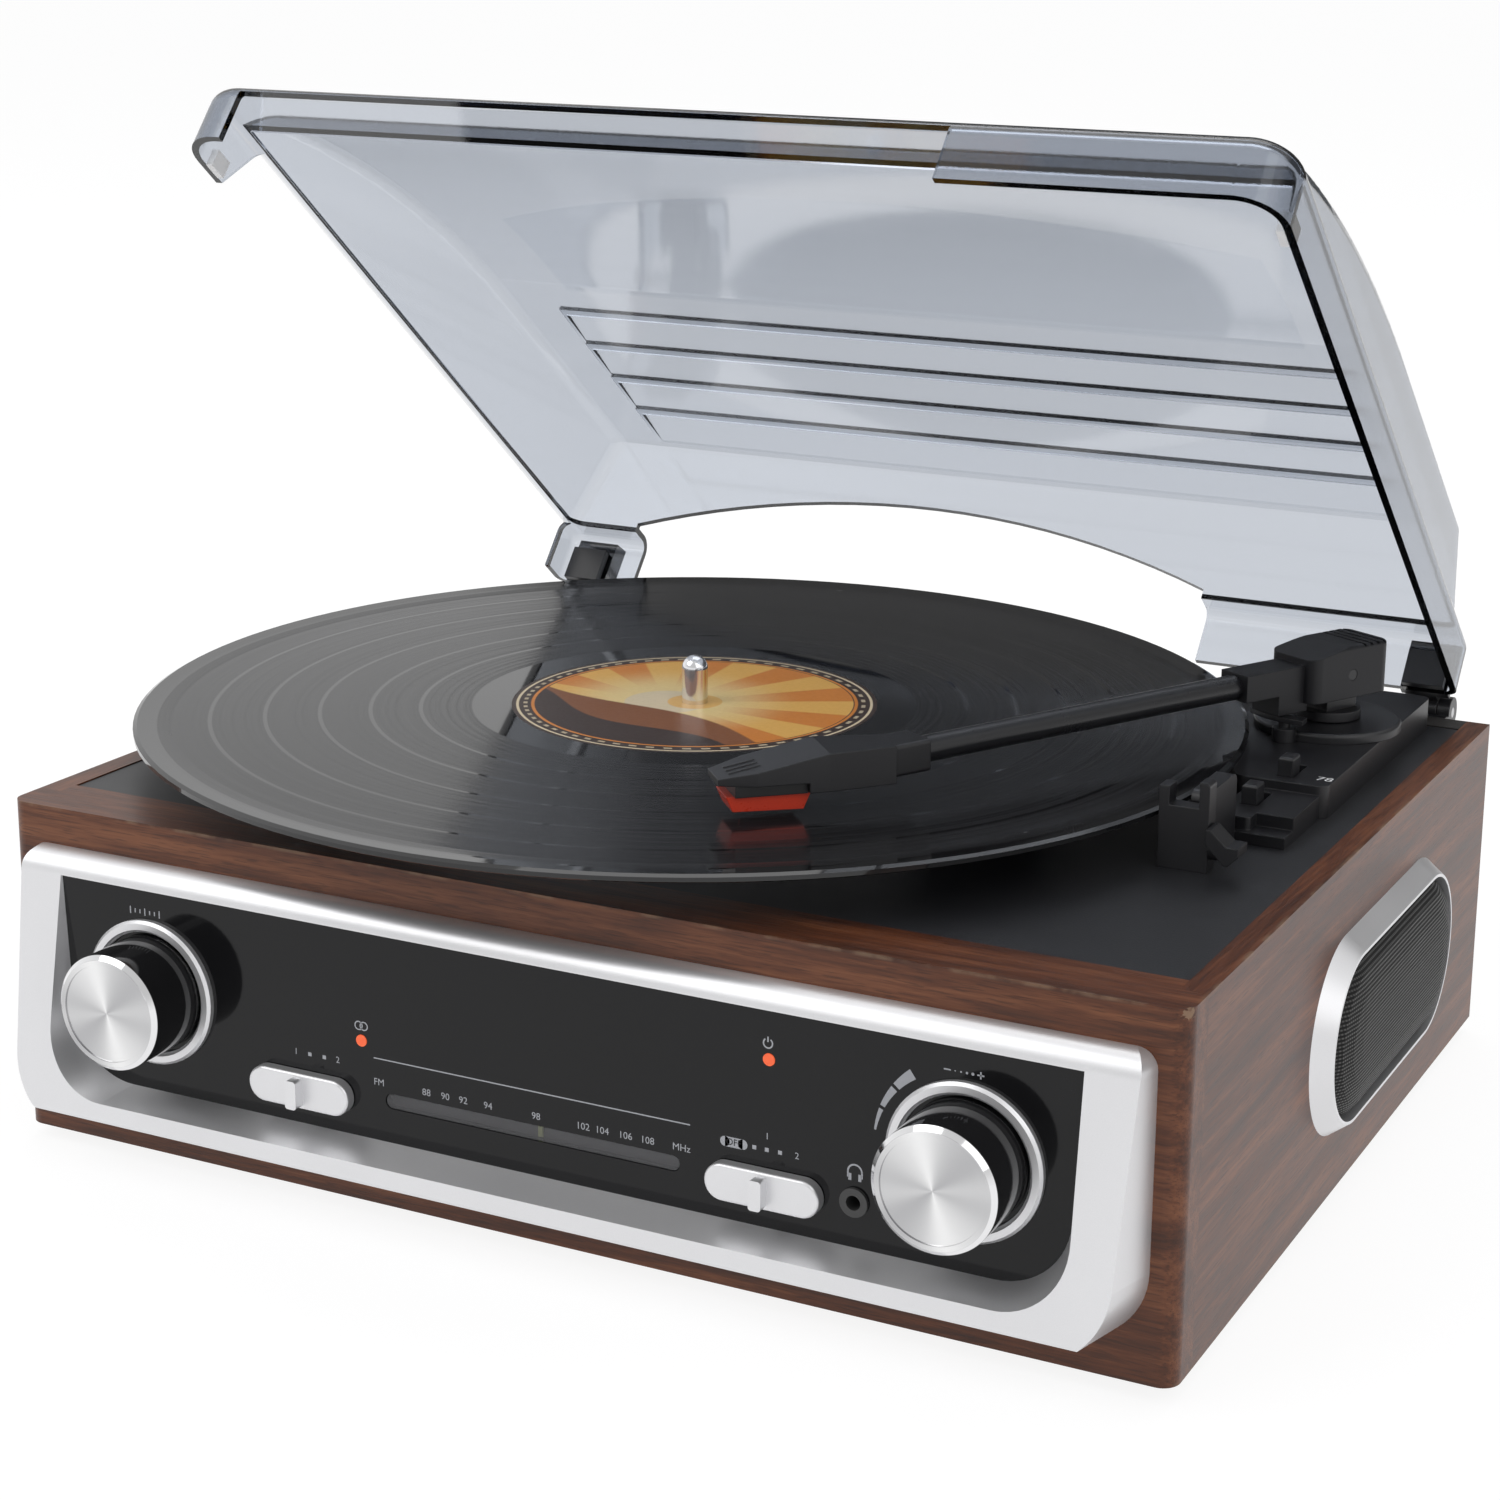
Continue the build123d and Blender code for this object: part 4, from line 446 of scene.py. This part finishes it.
# a plain label: a low sun with rays over two dark hills, in two thin rings with dashes between
def labelFinish():
    def build(wire):
        spot = around(wire, spindlePlace, turn=(0, 0, math.radians(labelLook["turnDegrees"])),
                      size=(labelLook["radius"],) * 3)
        x, y = apart(spot)[:2]
        radius = length(x, y)
        sunX, sunY = x + 0.10, y + 0.12
        fromSun = length(sunX, sunY)
        angle = sunY.maths("ARCTAN2", sunX)
        ray = (angle * (labelLook["rays"] / 2)).maths("SINE").step(-0.12, 0.12)
        paper = noise(wire, place(wire), 900.0, 2.0)
        sky = blend(wire, ray, labelLook["orange"], labelLook["gold"])
        sky = blend(wire, fromSun.step(0.75, 0.25), sky, labelLook["pale"])
        sky = blend(wire, fromSun.step(0.235, 0.225), sky, labelLook["cream"])
        farHill = y + 0.30 - (x * 3.1 + 0.6).maths("SINE") * 0.10
        nearHill = y + 0.52 - (x * 4.3 - 1.0).maths("SINE") * 0.09
        colour = blend(wire, farHill.step(0.01, -0.01), sky, labelLook["farHill"])
        colour = blend(wire, nearHill.step(0.01, -0.01), colour, labelLook["brown"])
        colour = blend(wire, radius.step(0.868, 0.872), colour, labelLook["brown"])
        line = abs(radius - 0.885).step(0.012, 0.006)
        colour = blend(wire, line, colour, labelLook["orange"])
        thin = abs(radius - 0.968).step(0.010, 0.005)
        colour = blend(wire, thin, colour, labelLook["cream"])
        dashes = (angle * 60.0).maths("SINE").step(0.0, 0.2) * abs(radius - 0.925).step(0.014, 0.008)
        colour = blend(wire, dashes * 0.7, colour, labelLook["cream"])
        colour = blend(wire, radius.step(0.155, 0.145) * 0.8, colour, labelLook["gold"])
        return {
            "Base Color": blend(wire, paper * 0.12, colour, labelLook["fibre"]),
            "Roughness": 0.34 + paper * 0.1,
            "Normal": bump(wire, paper, 0.00002, 0.3),
        }

    return finish("label_paper", {}, build)


meshLook = {
    "pitch": 0.0010,
    "wire": (0.105, 0.104, 0.102),
    # painted shade: the near black painted into the gaps between the wires
    "hole": (0.003, 0.003, 0.003),
    "dull": (0.03, 0.03, 0.03),
}


# woven wire cloth: rows of wire that rise over the crossing ones, with painted shade in the gaps between
# and where the wire dips
def meshFinish():
    def build(wire):
        y, z = apart(place(wire))[1:]
        turnPerPitch = 2 * math.pi / meshLook["pitch"]
        row = (z * turnPerPitch).maths("SINE")
        column = (y * turnPerPitch).maths("SINE")
        knuckle = row.step(-0.15, 0.65) * (column.step(-0.6, 0.5) * 0.7 + 0.3)
        worn = noise(wire, place(wire), 90.0, 2.0)
        # the wire's colour darkens where it dips under the crossing ones and goes near black in the
        # gaps: painted shade
        colour = blend(wire, knuckle, meshLook["hole"], meshLook["wire"])
        return {
            "Base Color": blend(wire, worn * 0.25, colour, meshLook["dull"]),
            "Metallic": knuckle * 0.6,
            "Roughness": 0.75 - knuckle * 0.38,
            "Normal": bump(wire, knuckle, 0.00012, 0.6),
        }

    return finish("speaker_weave", {"Specular IOR Level": 0.25}, build)


lidLook = {
    "density": 1000.0,
    "tint": (0.725, 0.748, 0.785),
    "clear": (0.90, 0.91, 0.925),
    "frosted": (1.0, 1.0, 1.0),
    "archFront": -0.052,
    "archBack": 0.020,
    "archHalf": 0.115,
    "archBow": 1.9,  # how fast the front line falls back towards the sides
    "archSkew": 0.03,
    "crown": (0.030, 0.034),  # the heights between which the wall turns into the top
}


# smoky clear plastic: clear in the arched field, finely frosted round it
def lidFinish():
    turn = math.radians(hinge["openDegrees"])

    def build(wire):
        closed = around(wire, (0, hinge["y"], hinge["z"]), turn=(-turn, 0, 0))
        x, back, up = apart(closed)
        y = back + hinge["y"]
        frontLine = x * x * lidLook["archBow"] + lidLook["archFront"] - x * lidLook["archSkew"]
        inside = (y - frontLine).step(-0.0004, 0.0004) * (lidLook["archBack"] - y).step(-0.0004, 0.0004)
        inside = inside * abs(x).step(lidLook["archHalf"] + 0.0004, lidLook["archHalf"] - 0.0004)
        onCrown = up.step(*lidLook["crown"])
        speck = noise(wire, place(wire), 2400.0, 2.0)
        haze = noise(wire, place(wire), 25.0, 2.0)
        frosted = (1 - inside) * onCrown
        return {
            "Base Color": blend(wire, inside * onCrown, lidLook["frosted"], lidLook["clear"]),
            "Roughness": 0.03 + frosted * 0.06 + haze * 0.02,
            "Normal": bump(wire, speck + inside * 0.6, 0.00002, 0.25),
        }

    material = finish("smoky_plastic", {"Transmission Weight": 1.0, "IOR": 1.49}, build)
    wire = Wire(material.node_tree)
    smoke = wire.node("ShaderNodeVolumeAbsorption", {},
                      {"Color": lidLook["tint"], "Density": lidLook["density"]})
    wire.feed(material.node_tree.nodes["Material Output"].inputs["Volume"], smoke)
    return material


# green circuit board with paler tracks
def boardFinish():
    def build(wire):
        cells = wire.node("ShaderNodeTexVoronoi", {"distance": "MANHATTAN", "feature": "F1"},
                          {"Vector": place(wire), "Scale": 260.0}, out="Distance")
        tracks = cells.step(0.46, 0.52)
        return {
            "Base Color": blend(wire, tracks, (0.012, 0.070, 0.030), (0.045, 0.150, 0.060)),
            "Roughness": 0.35 + tracks * 0.15,
            "Normal": bump(wire, tracks, 0.00004, 0.6),
        }

    return finish("circuit_board", {}, build)


def lampFinish():
    def build(wire):
        glow = noise(wire, place(wire), 900.0, 2.0)
        return {
            "Base Color": blend(wire, glow, (0.70, 0.075, 0.015), (0.92, 0.16, 0.05)),
            "Emission Color": blend(wire, glow, (0.80, 0.085, 0.02), (1.0, 0.17, 0.06)),
            "Roughness": 0.25 + glow * 0.1,
        }

    return finish("lamp_orange", {"Emission Strength": 0.35}, build)


# milky rubber of the bumpers
def clearFinish():
    def build(wire):
        cloud = noise(wire, place(wire), 300.0, 2.0)
        return {
            "Base Color": blend(wire, cloud, (0.95, 0.955, 0.96), (1.0, 1.0, 1.0)),
            "Roughness": 0.3 + cloud * 0.1,
        }

    return finish("clear_rubber", {"IOR": 1.45}, build)


def matFinish():
    def build(wire):
        x, y = apart(around(wire, spindlePlace))[:2]
        ribs = (length(x, y) * 2100.0).maths("SINE")
        felt = noise(wire, place(wire), 1800.0, 2.0)
        return {
            "Base Color": blend(wire, felt, (0.010, 0.010, 0.010), (0.028, 0.028, 0.028)),
            "Roughness": 0.75 + felt * 0.2,
            "Normal": bump(wire, ribs * 0.5 + felt * 0.4, 0.0003, 0.6),
        }

    return finish("mat_rubber", {}, build)


finishes = {
    "walnutAcross": walnutFinish("walnut_across", "x"),
    "walnutBack": walnutFinish("walnut_back", "y"),
    "deck": plasticFinish("deck_black", (0.014, 0.0145, 0.017), 0.42, 0.5, 0.0005),
    "arm": plasticFinish("arm_black", (0.010, 0.010, 0.012), 0.36, 0.35, 0.0004, edge=0.0004),
    "armHousing": plasticFinish("housing_black", (0.009, 0.009, 0.011), 0.42, 0.35, 0.0004, edge=0.0004,
                                fixed={"Specular IOR Level": 0.30}),
    "armSmooth": plasticFinish("arm_satin", (0.009, 0.009, 0.011), 0.28, 0.15, 0.0005, edge=0.0004),
    "board": plasticFinish("black_board", (0.020, 0.018, 0.017), 0.65, 0.8, 0.0012),
    "rubber": plasticFinish("rubber", (0.016, 0.016, 0.016), 0.72, 0.6, 0.0007),
    "beltRubber": plasticFinish("belt_rubber", (0.012, 0.012, 0.012), 0.6, 0.4, 0.0005),
    "panel": plasticFinish("panel_gloss", (0.0060, 0.0060, 0.0068), 0.070, 0.02, 0.0009,
                           fixed={"Specular IOR Level": 0.27}, cloudy=0.05),
    "dialPlate": plasticFinish("dial_plate", (0.170, 0.172, 0.180), 0.35, 0.2, 0.0006),
    "pointer": plasticFinish("pointer", (0.62, 0.66, 0.30), 0.35, 0.1, 0.0006),
    "switchBody": plasticFinish("switch_body", (0.05, 0.05, 0.05), 0.5, 0.3, 0.0005),
    "red": plasticFinish("stylus_red", (0.62, 0.040, 0.012), 0.28, 0.15, 0.0005, edge=0.0003),
    "cartridge": plasticFinish("cartridge_black", (0.011, 0.011, 0.012), 0.35, 0.3, 0.0004, edge=0.0003),
    "satin": satinFinish("satin_silver"),
    "chrome": metalFinish("chrome", (0.86, 0.86, 0.88), 0.10),
    "steel": metalFinish("steel", (0.55, 0.55, 0.56), 0.30),
    "motorMetal": metalFinish("motor_metal", (0.50, 0.50, 0.49), 0.38),
    "brass": metalFinish("brass", (0.78, 0.57, 0.25), 0.25),
    "aluminium": metalFinish("aluminium", (0.78, 0.78, 0.80), 0.30, brush=(1.0, 1.0, 0.05)),
    "driver": metalFinish("driver_metal", (0.40, 0.40, 0.41), 0.42),
    "knob": knobFinish(),
    "vinyl": recordFinish(),
    "label": labelFinish(),
    "weave": meshFinish(),
    "lid": lidFinish(),
    "circuit": boardFinish(),
    "lamp": lampFinish(),
    "clear": clearFinish(),
    "mat": matFinish(),
}
print("finishes made")

finishOfNode = {
    "walnutAcross": ["front_board"],
    "walnutBack": ["left_board", "right_board"],
    "board": ["rear_board", "base_plate"],
    "deck": ["deck_plate"],
    "rubber": ["rubber_feet"],
    "steel": ["case_screws", "spindle_bearing", "hinge_pins", "tuning_shaft", "volume_shaft",
              "motor_bracket"],
    "satin": ["front_bezel", "knob_collars", "speaker_ring_left", "speaker_ring_right",
              "function_slide_cap", "power_slide_cap"],
    "panel": ["control_panel"],
    "circuit": ["radio_board", "amplifier_board"],
    "switchBody": ["slide_switches", "tuning_capacitor", "headphone_jack", "power_inlet"],
    "motorMetal": ["motor", "volume_potentiometer"],
    "knob": ["tuning_knob", "volume_knob"],
    "dialPlate": ["dial_backplate"],
    "pointer": ["dial_pointer"],
    "lamp": ["indicator_lamps"],
    "weave": ["speaker_grille_left", "speaker_grille_right"],
    "driver": ["speaker_drivers"],
    "aluminium": ["platter"],
    "mat": ["platter_mat"],
    "vinyl": ["vinyl_record"],
    "label": ["record_label"],
    "chrome": ["spindle"],
    "brass": ["motor_pulley"],
    "beltRubber": ["drive_belt"],
    "arm": ["arm_plinth", "arm_base_disc", "arm_fork", "headshell", "arm_rest", "cue_lever",
            "arm_lifter", "hinge_bases", "hinge_leaves", "speed_selector", "auto_stop_selector"],
    "armHousing": ["arm_housing"],
    "armSmooth": ["tonearm_tube"],
    "cartridge": ["cartridge"],
    "red": ["stylus_holder"],
    "lid": ["lid_shell"],
    "clear": ["lid_bumpers"],
}
for finishName, names in finishOfNode.items():
    for nodeName in names:
        for holder in nodes[nodeName].material_slots:
            holder.material = finishes[finishName]
finished = {nodeName for names in finishOfNode.values() for nodeName in names}
print("parts without a finish:", sorted(set(nodes) - finished))


# new pieces
def finishPiece(name, bm, finishKey, body):
    mesh = bpy.data.meshes.new(name)
    bm.to_mesh(mesh)
    bm.free()
    piece = bpy.data.objects.new(name, mesh)
    bpy.context.scene.collection.objects.link(piece)
    mesh.materials.append(finishes[finishKey])
    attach(piece, body)


# from a flat drawing to the panel's face, in millimetres: x to the right, height above the case's foot
def onPanel(x, height, proud=0.00004):
    forward = case["halfDepth"] + case["panelFace"] + proud
    upright = Matrix.Rotation(math.radians(90), 4, "X")
    return Matrix.Translation((x / 1000, -forward, case["bottom"] + height / 1000)) @ upright


def addBar(bm, where, width, height):
    bmesh.ops.create_grid(bm, x_segments=1, y_segments=1, size=0.5,
                          matrix=where @ Matrix.Diagonal((width / 1000, height / 1000, 1, 1)))


def addDisc(bm, where, radius):
    bmesh.ops.create_circle(bm, cap_ends=True, segments=24, radius=radius / 1000, matrix=where)


# a flat band from one angle to another, with its width at each end
def addArc(bm, where, radius, widths, start, end, steps):
    first, last = math.radians(start), math.radians(end)
    inner = bm.verts.new((radius / 1000 - widths[0] / 2000, 0, 0))
    outer = bm.verts.new((radius / 1000 + widths[0] / 2000, 0, 0))
    edge = bm.edges.new((inner, outer))
    bmesh.ops.rotate(bm, verts=[inner, outer], cent=(0, 0, 0), matrix=Matrix.Rotation(first, 3, "Z"))
    made = {inner, outer}
    ends = [edge]
    for count in range(steps):
        spun = bmesh.ops.spin(bm, geom=ends, cent=(0, 0, 0), axis=(0, 0, 1),
                              angle=(last - first) / steps, steps=1)
        ends = [item for item in spun["geom_last"] if isinstance(item, bmesh.types.BMEdge)]
        fresh = [item for item in spun["geom_last"] if isinstance(item, bmesh.types.BMVert)]
        share = (count + 1) / steps
        wanted = (widths[0] + (widths[1] - widths[0]) * share) / 2000
        for vert in fresh:
            side = 1 if vert.co.length > radius / 1000 else -1
            vert.co = vert.co.normalized() * (radius / 1000 + side * wanted)
            made.add(vert)
    bmesh.ops.transform(bm, matrix=where, verts=list(made))


def addText(bm, where, words, size):
    curve = bpy.data.curves.new("words", "FONT")
    curve.body = words
    curve.size = size / 1000
    curve.align_x = "CENTER"
    curve.align_y = "CENTER"
    curve.resolution_u = 3
    drawn = bpy.data.objects.new("words", curve)
    bpy.context.scene.collection.objects.link(drawn)
    bpy.context.view_layer.update()
    mesh = bpy.data.meshes.new_from_object(drawn)
    before = set(bm.verts)
    bm.from_mesh(mesh)
    bmesh.ops.transform(bm, matrix=where, verts=[vert for vert in bm.verts if vert not in before])
    bpy.data.objects.remove(drawn)
    bpy.data.meshes.remove(mesh)


finishes["print"] = plasticFinish("print_grey", (0.40, 0.41, 0.44), 0.45, 0.05, 0.0004)
finishes["window"] = plasticFinish("dial_window", (0.135, 0.135, 0.142), 0.20, 0.05, 0.0008,
                                   fixed={"Alpha": 0.5})
finishes["printWhite"] = plasticFinish("print_white", (0.80, 0.80, 0.81), 0.5, 0.05, 0.0004)
dialPrint = {
    "numbers": [("88", -29.9), ("90", -24.5), ("92", -19.4), ("94", -12.4), ("98", 1.0),
                ("102", 13.9), ("104", 19.1), ("106", 25.4), ("108", 31.3)],
    "numberHeight": 35.5,
    "size": 2.5,
    "lineHeight": 41.7,
    "line": (-45.0, 42.6),
    "lineWidth": 0.32,
    "unit": ("MHz", 40.3),
    "band": ("FM", -43.6),
}


def makeDialPrint():
    bm = bmesh.new()
    for words, x in [*dialPrint["numbers"], dialPrint["unit"], dialPrint["band"]]:
        addText(bm, onPanel(x, dialPrint["numberHeight"]), words, dialPrint["size"])
    low, high = dialPrint["line"]
    addBar(bm, onPanel((low + high) / 2, dialPrint["lineHeight"]), high - low, dialPrint["lineWidth"])
    finishPiece("dial_numbers", bm, "print", "case")


controlPrint = {
    "volumeCentre": (111.7, 47.0),
    "volumeRadius": 22.3,
    "headphoneCentre": (84.8, 38.8),
    "powerSign": (62.6, 65.6),
    "stereoSign": (-48.4, 49.3),
    "tuningSign": (-113.0, 67.8),
    "volumeSign": (110.8, 67.8),
    "offBadge": (54.0, 39.6),
    # start, end and the width at each end of the bars that swell with the volume
    "wedges": ((172, 158, (0.5, 1.1)), (156, 142, (1.2, 1.8)), (140, 126, (1.9, 2.6))),
    "squares": ((-63.9, 39.0), (-59.6, 39.0), (59.3, 39.6), (62.5, 39.6), (65.9, 39.6)),
    "digits": (("1", -68.0, 39.0), ("2", -55.6, 39.0)),
    "digitsRight": (("1", 62.6, 42.9), ("2", 70.2, 39.6)),
    "letterSize": 2.3,
}


def makeControlPrint():
    bm = bmesh.new()
    # three swelling bars round the volume knob's upper left
    centre = onPanel(*controlPrint["volumeCentre"])
    for start, end, widths in controlPrint["wedges"]:
        addArc(bm, centre, controlPrint["volumeRadius"], widths, start, end, 8)
    # headphones
    x, height = controlPrint["headphoneCentre"]
    addArc(bm, onPanel(x, height), 1.75, (0.42, 0.42), 0, 180, 16)
    for side in (-1, 1):
        addBar(bm, onPanel(x + side * 1.75, height - 0.7), 0.42, 1.5)
        addBar(bm, onPanel(x + side * 1.25, height - 1.3), 0.75, 1.7)
    # power sign, two linked rings, a row of ticks, and dots that grow from minus to plus
    x, height = controlPrint["powerSign"]
    addArc(bm, onPanel(x, height), 1.15, (0.36, 0.36), 125, 415, 20)
    addBar(bm, onPanel(x, height + 0.95), 0.36, 1.3)
    x, height = controlPrint["stereoSign"]
    for side in (-1, 1):
        addArc(bm, onPanel(x + side * 0.75, height), 1.05, (0.32, 0.32), 0, 360, 20)
    x, height = controlPrint["tuningSign"]
    for count in range(7):
        addBar(bm, onPanel(x + (count - 3) * 1.5, height), 0.36, 1.9 if count % 3 == 0 else 1.1)
    x, height = controlPrint["volumeSign"]
    addBar(bm, onPanel(x - 4.0, height), 1.7, 0.36)
    addBar(bm, onPanel(x + 4.0, height), 1.7, 0.36)
    addBar(bm, onPanel(x + 4.0, height), 0.36, 1.7)
    for count in range(4):
        addDisc(bm, onPanel(x - 2.1 + count * 1.4, height), 0.16 + 0.07 * count)
    # marks beside the two slides
    for x, height in controlPrint["squares"]:
        addBar(bm, onPanel(x, height), 1.0, 1.0)
    for digit, x, height in controlPrint["digits"]:
        addText(bm, onPanel(x, height), digit, controlPrint["letterSize"])
    x, height = controlPrint["offBadge"]
    addBar(bm, onPanel(x, height), 4.6, 2.5)
    for side in (-1, 1):
        addDisc(bm, onPanel(x + side * 2.3, height), 1.25)
    for digit, digitX, digitHeight in controlPrint["digitsRight"]:
        addText(bm, onPanel(digitX, digitHeight), digit, controlPrint["letterSize"])
    finishPiece("control_marks", bm, "print", "case")
    bm = bmesh.new()
    addText(bm, onPanel(x, height, proud=0.00008), "OFF", controlPrint["letterSize"])
    finishPiece("off_letters", bm, "panel", "case")


# the dial's smoky window, a long rounded strip just below the panel's face
dialWindow = {"centre": (-0.95, 31.2), "length": 81.3, "height": 3.7, "below": 0.00025}


def makeDialWindow():
    bm = bmesh.new()
    radius = dialWindow["height"] / 2000
    stretch = dialWindow["length"] / 2000 - radius
    bmesh.ops.create_circle(bm, cap_ends=True, segments=48, radius=radius)
    for vert in bm.verts:
        vert.co.x += math.copysign(stretch, vert.co.x)
    where = onPanel(*dialWindow["centre"], proud=-dialWindow["below"])
    bmesh.ops.transform(bm, matrix=where, verts=bm.verts)
    finishPiece("dial_window", bm, "window", "case")


makeDialPrint()
makeControlPrint()
makeDialWindow()
print("panel print made")


# deck and arm details
deckDetails = {
    "consoleTop": 0.1013,
    "speedWord": ("78", 0.1424, 0.0242),
    "wordSize": 4.6,
    "armPivot": (0.1275, 0.0750, 0.1174),
    "armDegrees": -117.5,
    "housingHalf": 0.0087,
    "plugSunk": 0.00038,
    "plugRadii": (0.00168, 0.00160),
    "plugDepth": 0.0006,
}


# a small plug fills each side bore of the arm housing, just below its face
def makePivotPlugs():
    bm = bmesh.new()
    outer, inner = deckDetails["plugRadii"]
    outwards = Matrix.Translation((deckDetails["housingHalf"] - deckDetails["plugSunk"], 0, 0))
    for side in (-1, 1):
        turn = Matrix.Rotation(math.radians(deckDetails["armDegrees"] + 90 * side), 4, "Z")
        where = Matrix.Translation(deckDetails["armPivot"]) @ turn @ outwards
        bmesh.ops.create_cone(bm, cap_ends=True, segments=32, radius1=outer, radius2=inner,
                              depth=deckDetails["plugDepth"],
                              matrix=where @ Matrix.Rotation(math.radians(90), 4, "Y"))
    finishPiece("pivot_plugs", bm, "arm", "arm")


# grip ridges along the headshell's sloping nose
ridges = {"start": 28.0, "length": 8.0, "width": 0.8, "height": 0.5, "across": (-2.6, 0.0, 2.6)}
head = {
    "start": 0.158,
    "turn": -137.5,
    "shoulder": 0.012,
    "reach": 0.039,
    "top": 0.1220,
    "frontTop": 0.1166,
}


def makeHeadRidges():
    armTurn = Matrix.Rotation(math.radians(deckDetails["armDegrees"]), 4, "Z")
    origin = Vector(deckDetails["armPivot"]) + armTurn @ Vector((head["start"], 0, 0))
    drop = head["top"] - head["frontTop"]
    slope = math.atan2(drop, head["reach"] - head["shoulder"])
    bm = bmesh.new()
    along = (ridges["start"] + ridges["length"] / 2) / 1000
    height = head["top"] - (along - head["shoulder"]) * math.tan(slope)
    turn = Matrix.Rotation(math.radians(head["turn"]), 4, "Z")
    size = Matrix.Diagonal((*(ridges[key] / 1000 for key in ("length", "width", "height")), 1))
    for across in ridges["across"]:
        where = Matrix.Translation((origin.x, origin.y, height)) @ turn
        where = where @ Matrix.Translation((along, across / 1000, 0))
        bmesh.ops.create_cube(bm, size=1.0, matrix=where @ Matrix.Rotation(slope, 4, "Y") @ size)
    bmesh.ops.bevel(bm, geom=bm.edges[:], offset=0.00012, segments=2, affect="EDGES",
                    profile=0.5, material=-1)
    finishPiece("headshell_ridges", bm, "arm", "arm")


# the speed's number beside its slide
def makeSpeedWord():
    bm = bmesh.new()
    words, x, y = deckDetails["speedWord"]
    where = Matrix.Translation((x, y, deckDetails["consoleTop"] + 0.00005))
    addText(bm, where, words, deckDetails["wordSize"])
    finishPiece("speed_number", bm, "printWhite", "case")


makePivotPlugs()
makeHeadRidges()
makeSpeedWord()
print("arm details made")


# surroundings
studio = {
    "floorSize": 9.0,
    "floorColour": (0.86, 0.86, 0.87),
    "floorGlow": 1.1,
    "floorShare": 0.80,  # how much of the floor's seen light is its glow, the rest keeps the shadow
    "worldSide": 0.62,
    "screenLeft": -32.0,
    "screenDepth": 0.84,
    "backdropDepth": 0.22,
    "lamps": [
        # place, size, power
        ((-1.3, -1.4, 1.9), 1.7, 17.0),
        ((1.7, -0.9, 1.5), 1.8, 9.0),
        ((-0.2, 0.9, 2.2), 1.6, 12.0),
    ],
}


def makeStudio():
    world = bpy.data.worlds.new("studio")
    bpy.context.scene.world = world
    world.use_nodes = True
    tree = world.node_tree
    wire = Wire(tree)
    background = tree.nodes["Background"]
    direction = wire.node("ShaderNodeTexCoord", {}, {}, out="Generated")
    x, y, z = apart(direction)
    rays = wire.node("ShaderNodeLightPath", {}, {}).socket.node.outputs
    seen = Wire(tree, rays["Is Camera Ray"])
    bounced = Wire(tree, rays["Glossy Depth"])
    bounced = bounced.maths("MINIMUM", 1.0)
    through = Wire(tree, rays["Is Transmission Ray"])
    mirrored = through.maths("MAXIMUM", Wire(tree, rays["Is Glossy Ray"])) * bounced
    through = through * (1 - bounced)
    # bright all round and behind, dimmer above the photographer
    front = (-y).step(-0.15, 0.75) * z.step(-0.05, 0.35)
    lit = studio["worldSide"] * (1 - front * 0.3)
    # a dim screen stands behind, to the right of the hinge side, for gloss only
    azimuth = x.maths("ARCTAN2", y)
    screenEdge = studio["screenLeft"]
    screen = azimuth.step(math.radians(screenEdge), math.radians(screenEdge + 2.5))
    screen = screen * azimuth.step(math.radians(85), math.radians(60)) * z.step(0.62, 0.42)
    backdrop = y.step(0.2, 0.6) * z.step(0.62, 0.42) * studio["backdropDepth"]
    mirrorLight = (1 - front * 0.35) * (1 - screen * studio["screenDepth"]) * (1 - backdrop)
    level = lit + mirrored * (mirrorLight - lit)
    level = level + through * (1.0 - level)
    level = level + seen * (1.0 - level)
    wire.feed(background.inputs["Color"], (1.0, 1.0, 1.0))
    wire.feed(background.inputs["Strength"], level)

    for number, (where, size, power) in enumerate(studio["lamps"]):
        data = bpy.data.lights.new(f"lamp{number}", "AREA")
        data.size = size
        data.energy = power
        lamp = bpy.data.objects.new(f"lamp{number}", data)
        aim = (Vector((0, 0, 0.08)) - Vector(where)).to_track_quat("-Z", "Y")
        lamp.matrix_world = Matrix.Translation(where) @ aim.to_matrix().to_4x4()
        bpy.context.scene.collection.objects.link(lamp)

    floorMaterial = bpy.data.materials.new("floor")
    floorMaterial.use_nodes = True
    floorTree = floorMaterial.node_tree
    paint = Wire(floorTree)
    shader = floorTree.nodes["Principled BSDF"]
    paint.feed(shader.inputs["Base Color"], studio["floorColour"])
    paint.feed(shader.inputs["Roughness"], 0.9)
    paint.feed(shader.inputs["Specular IOR Level"], 0.1)
    floorRays = paint.node("ShaderNodeLightPath", {}, {}).socket.node.outputs
    white = paint.node("ShaderNodeEmission", {},
                       {"Color": (1.0, 1.0, 1.0), "Strength": studio["floorGlow"]})
    direct = Wire(floorTree, floorRays["Is Camera Ray"])
    glossy = Wire(floorTree, floorRays["Is Glossy Ray"])
    thinned = Wire(floorTree, floorRays["Is Transmission Ray"])
    share = (direct + glossy + thinned) * studio["floorShare"]
    mixed = paint.node("ShaderNodeMixShader", {},
                       {0: share, 1: Wire(floorTree, shader.outputs[0]), 2: white})
    paint.feed(floorTree.nodes["Material Output"].inputs["Surface"], mixed)
    bm = bmesh.new()
    bmesh.ops.create_circle(bm, cap_ends=True, segments=64, radius=studio["floorSize"])
    mesh = bpy.data.meshes.new("floor")
    bm.to_mesh(mesh)
    bm.free()
    floor = bpy.data.objects.new("floor", mesh)
    mesh.materials.append(floorMaterial)
    bpy.context.scene.collection.objects.link(floor)


makeCamera()
makeStudio()
bpy.context.scene.view_settings.view_transform = "Standard"
print("studio made")
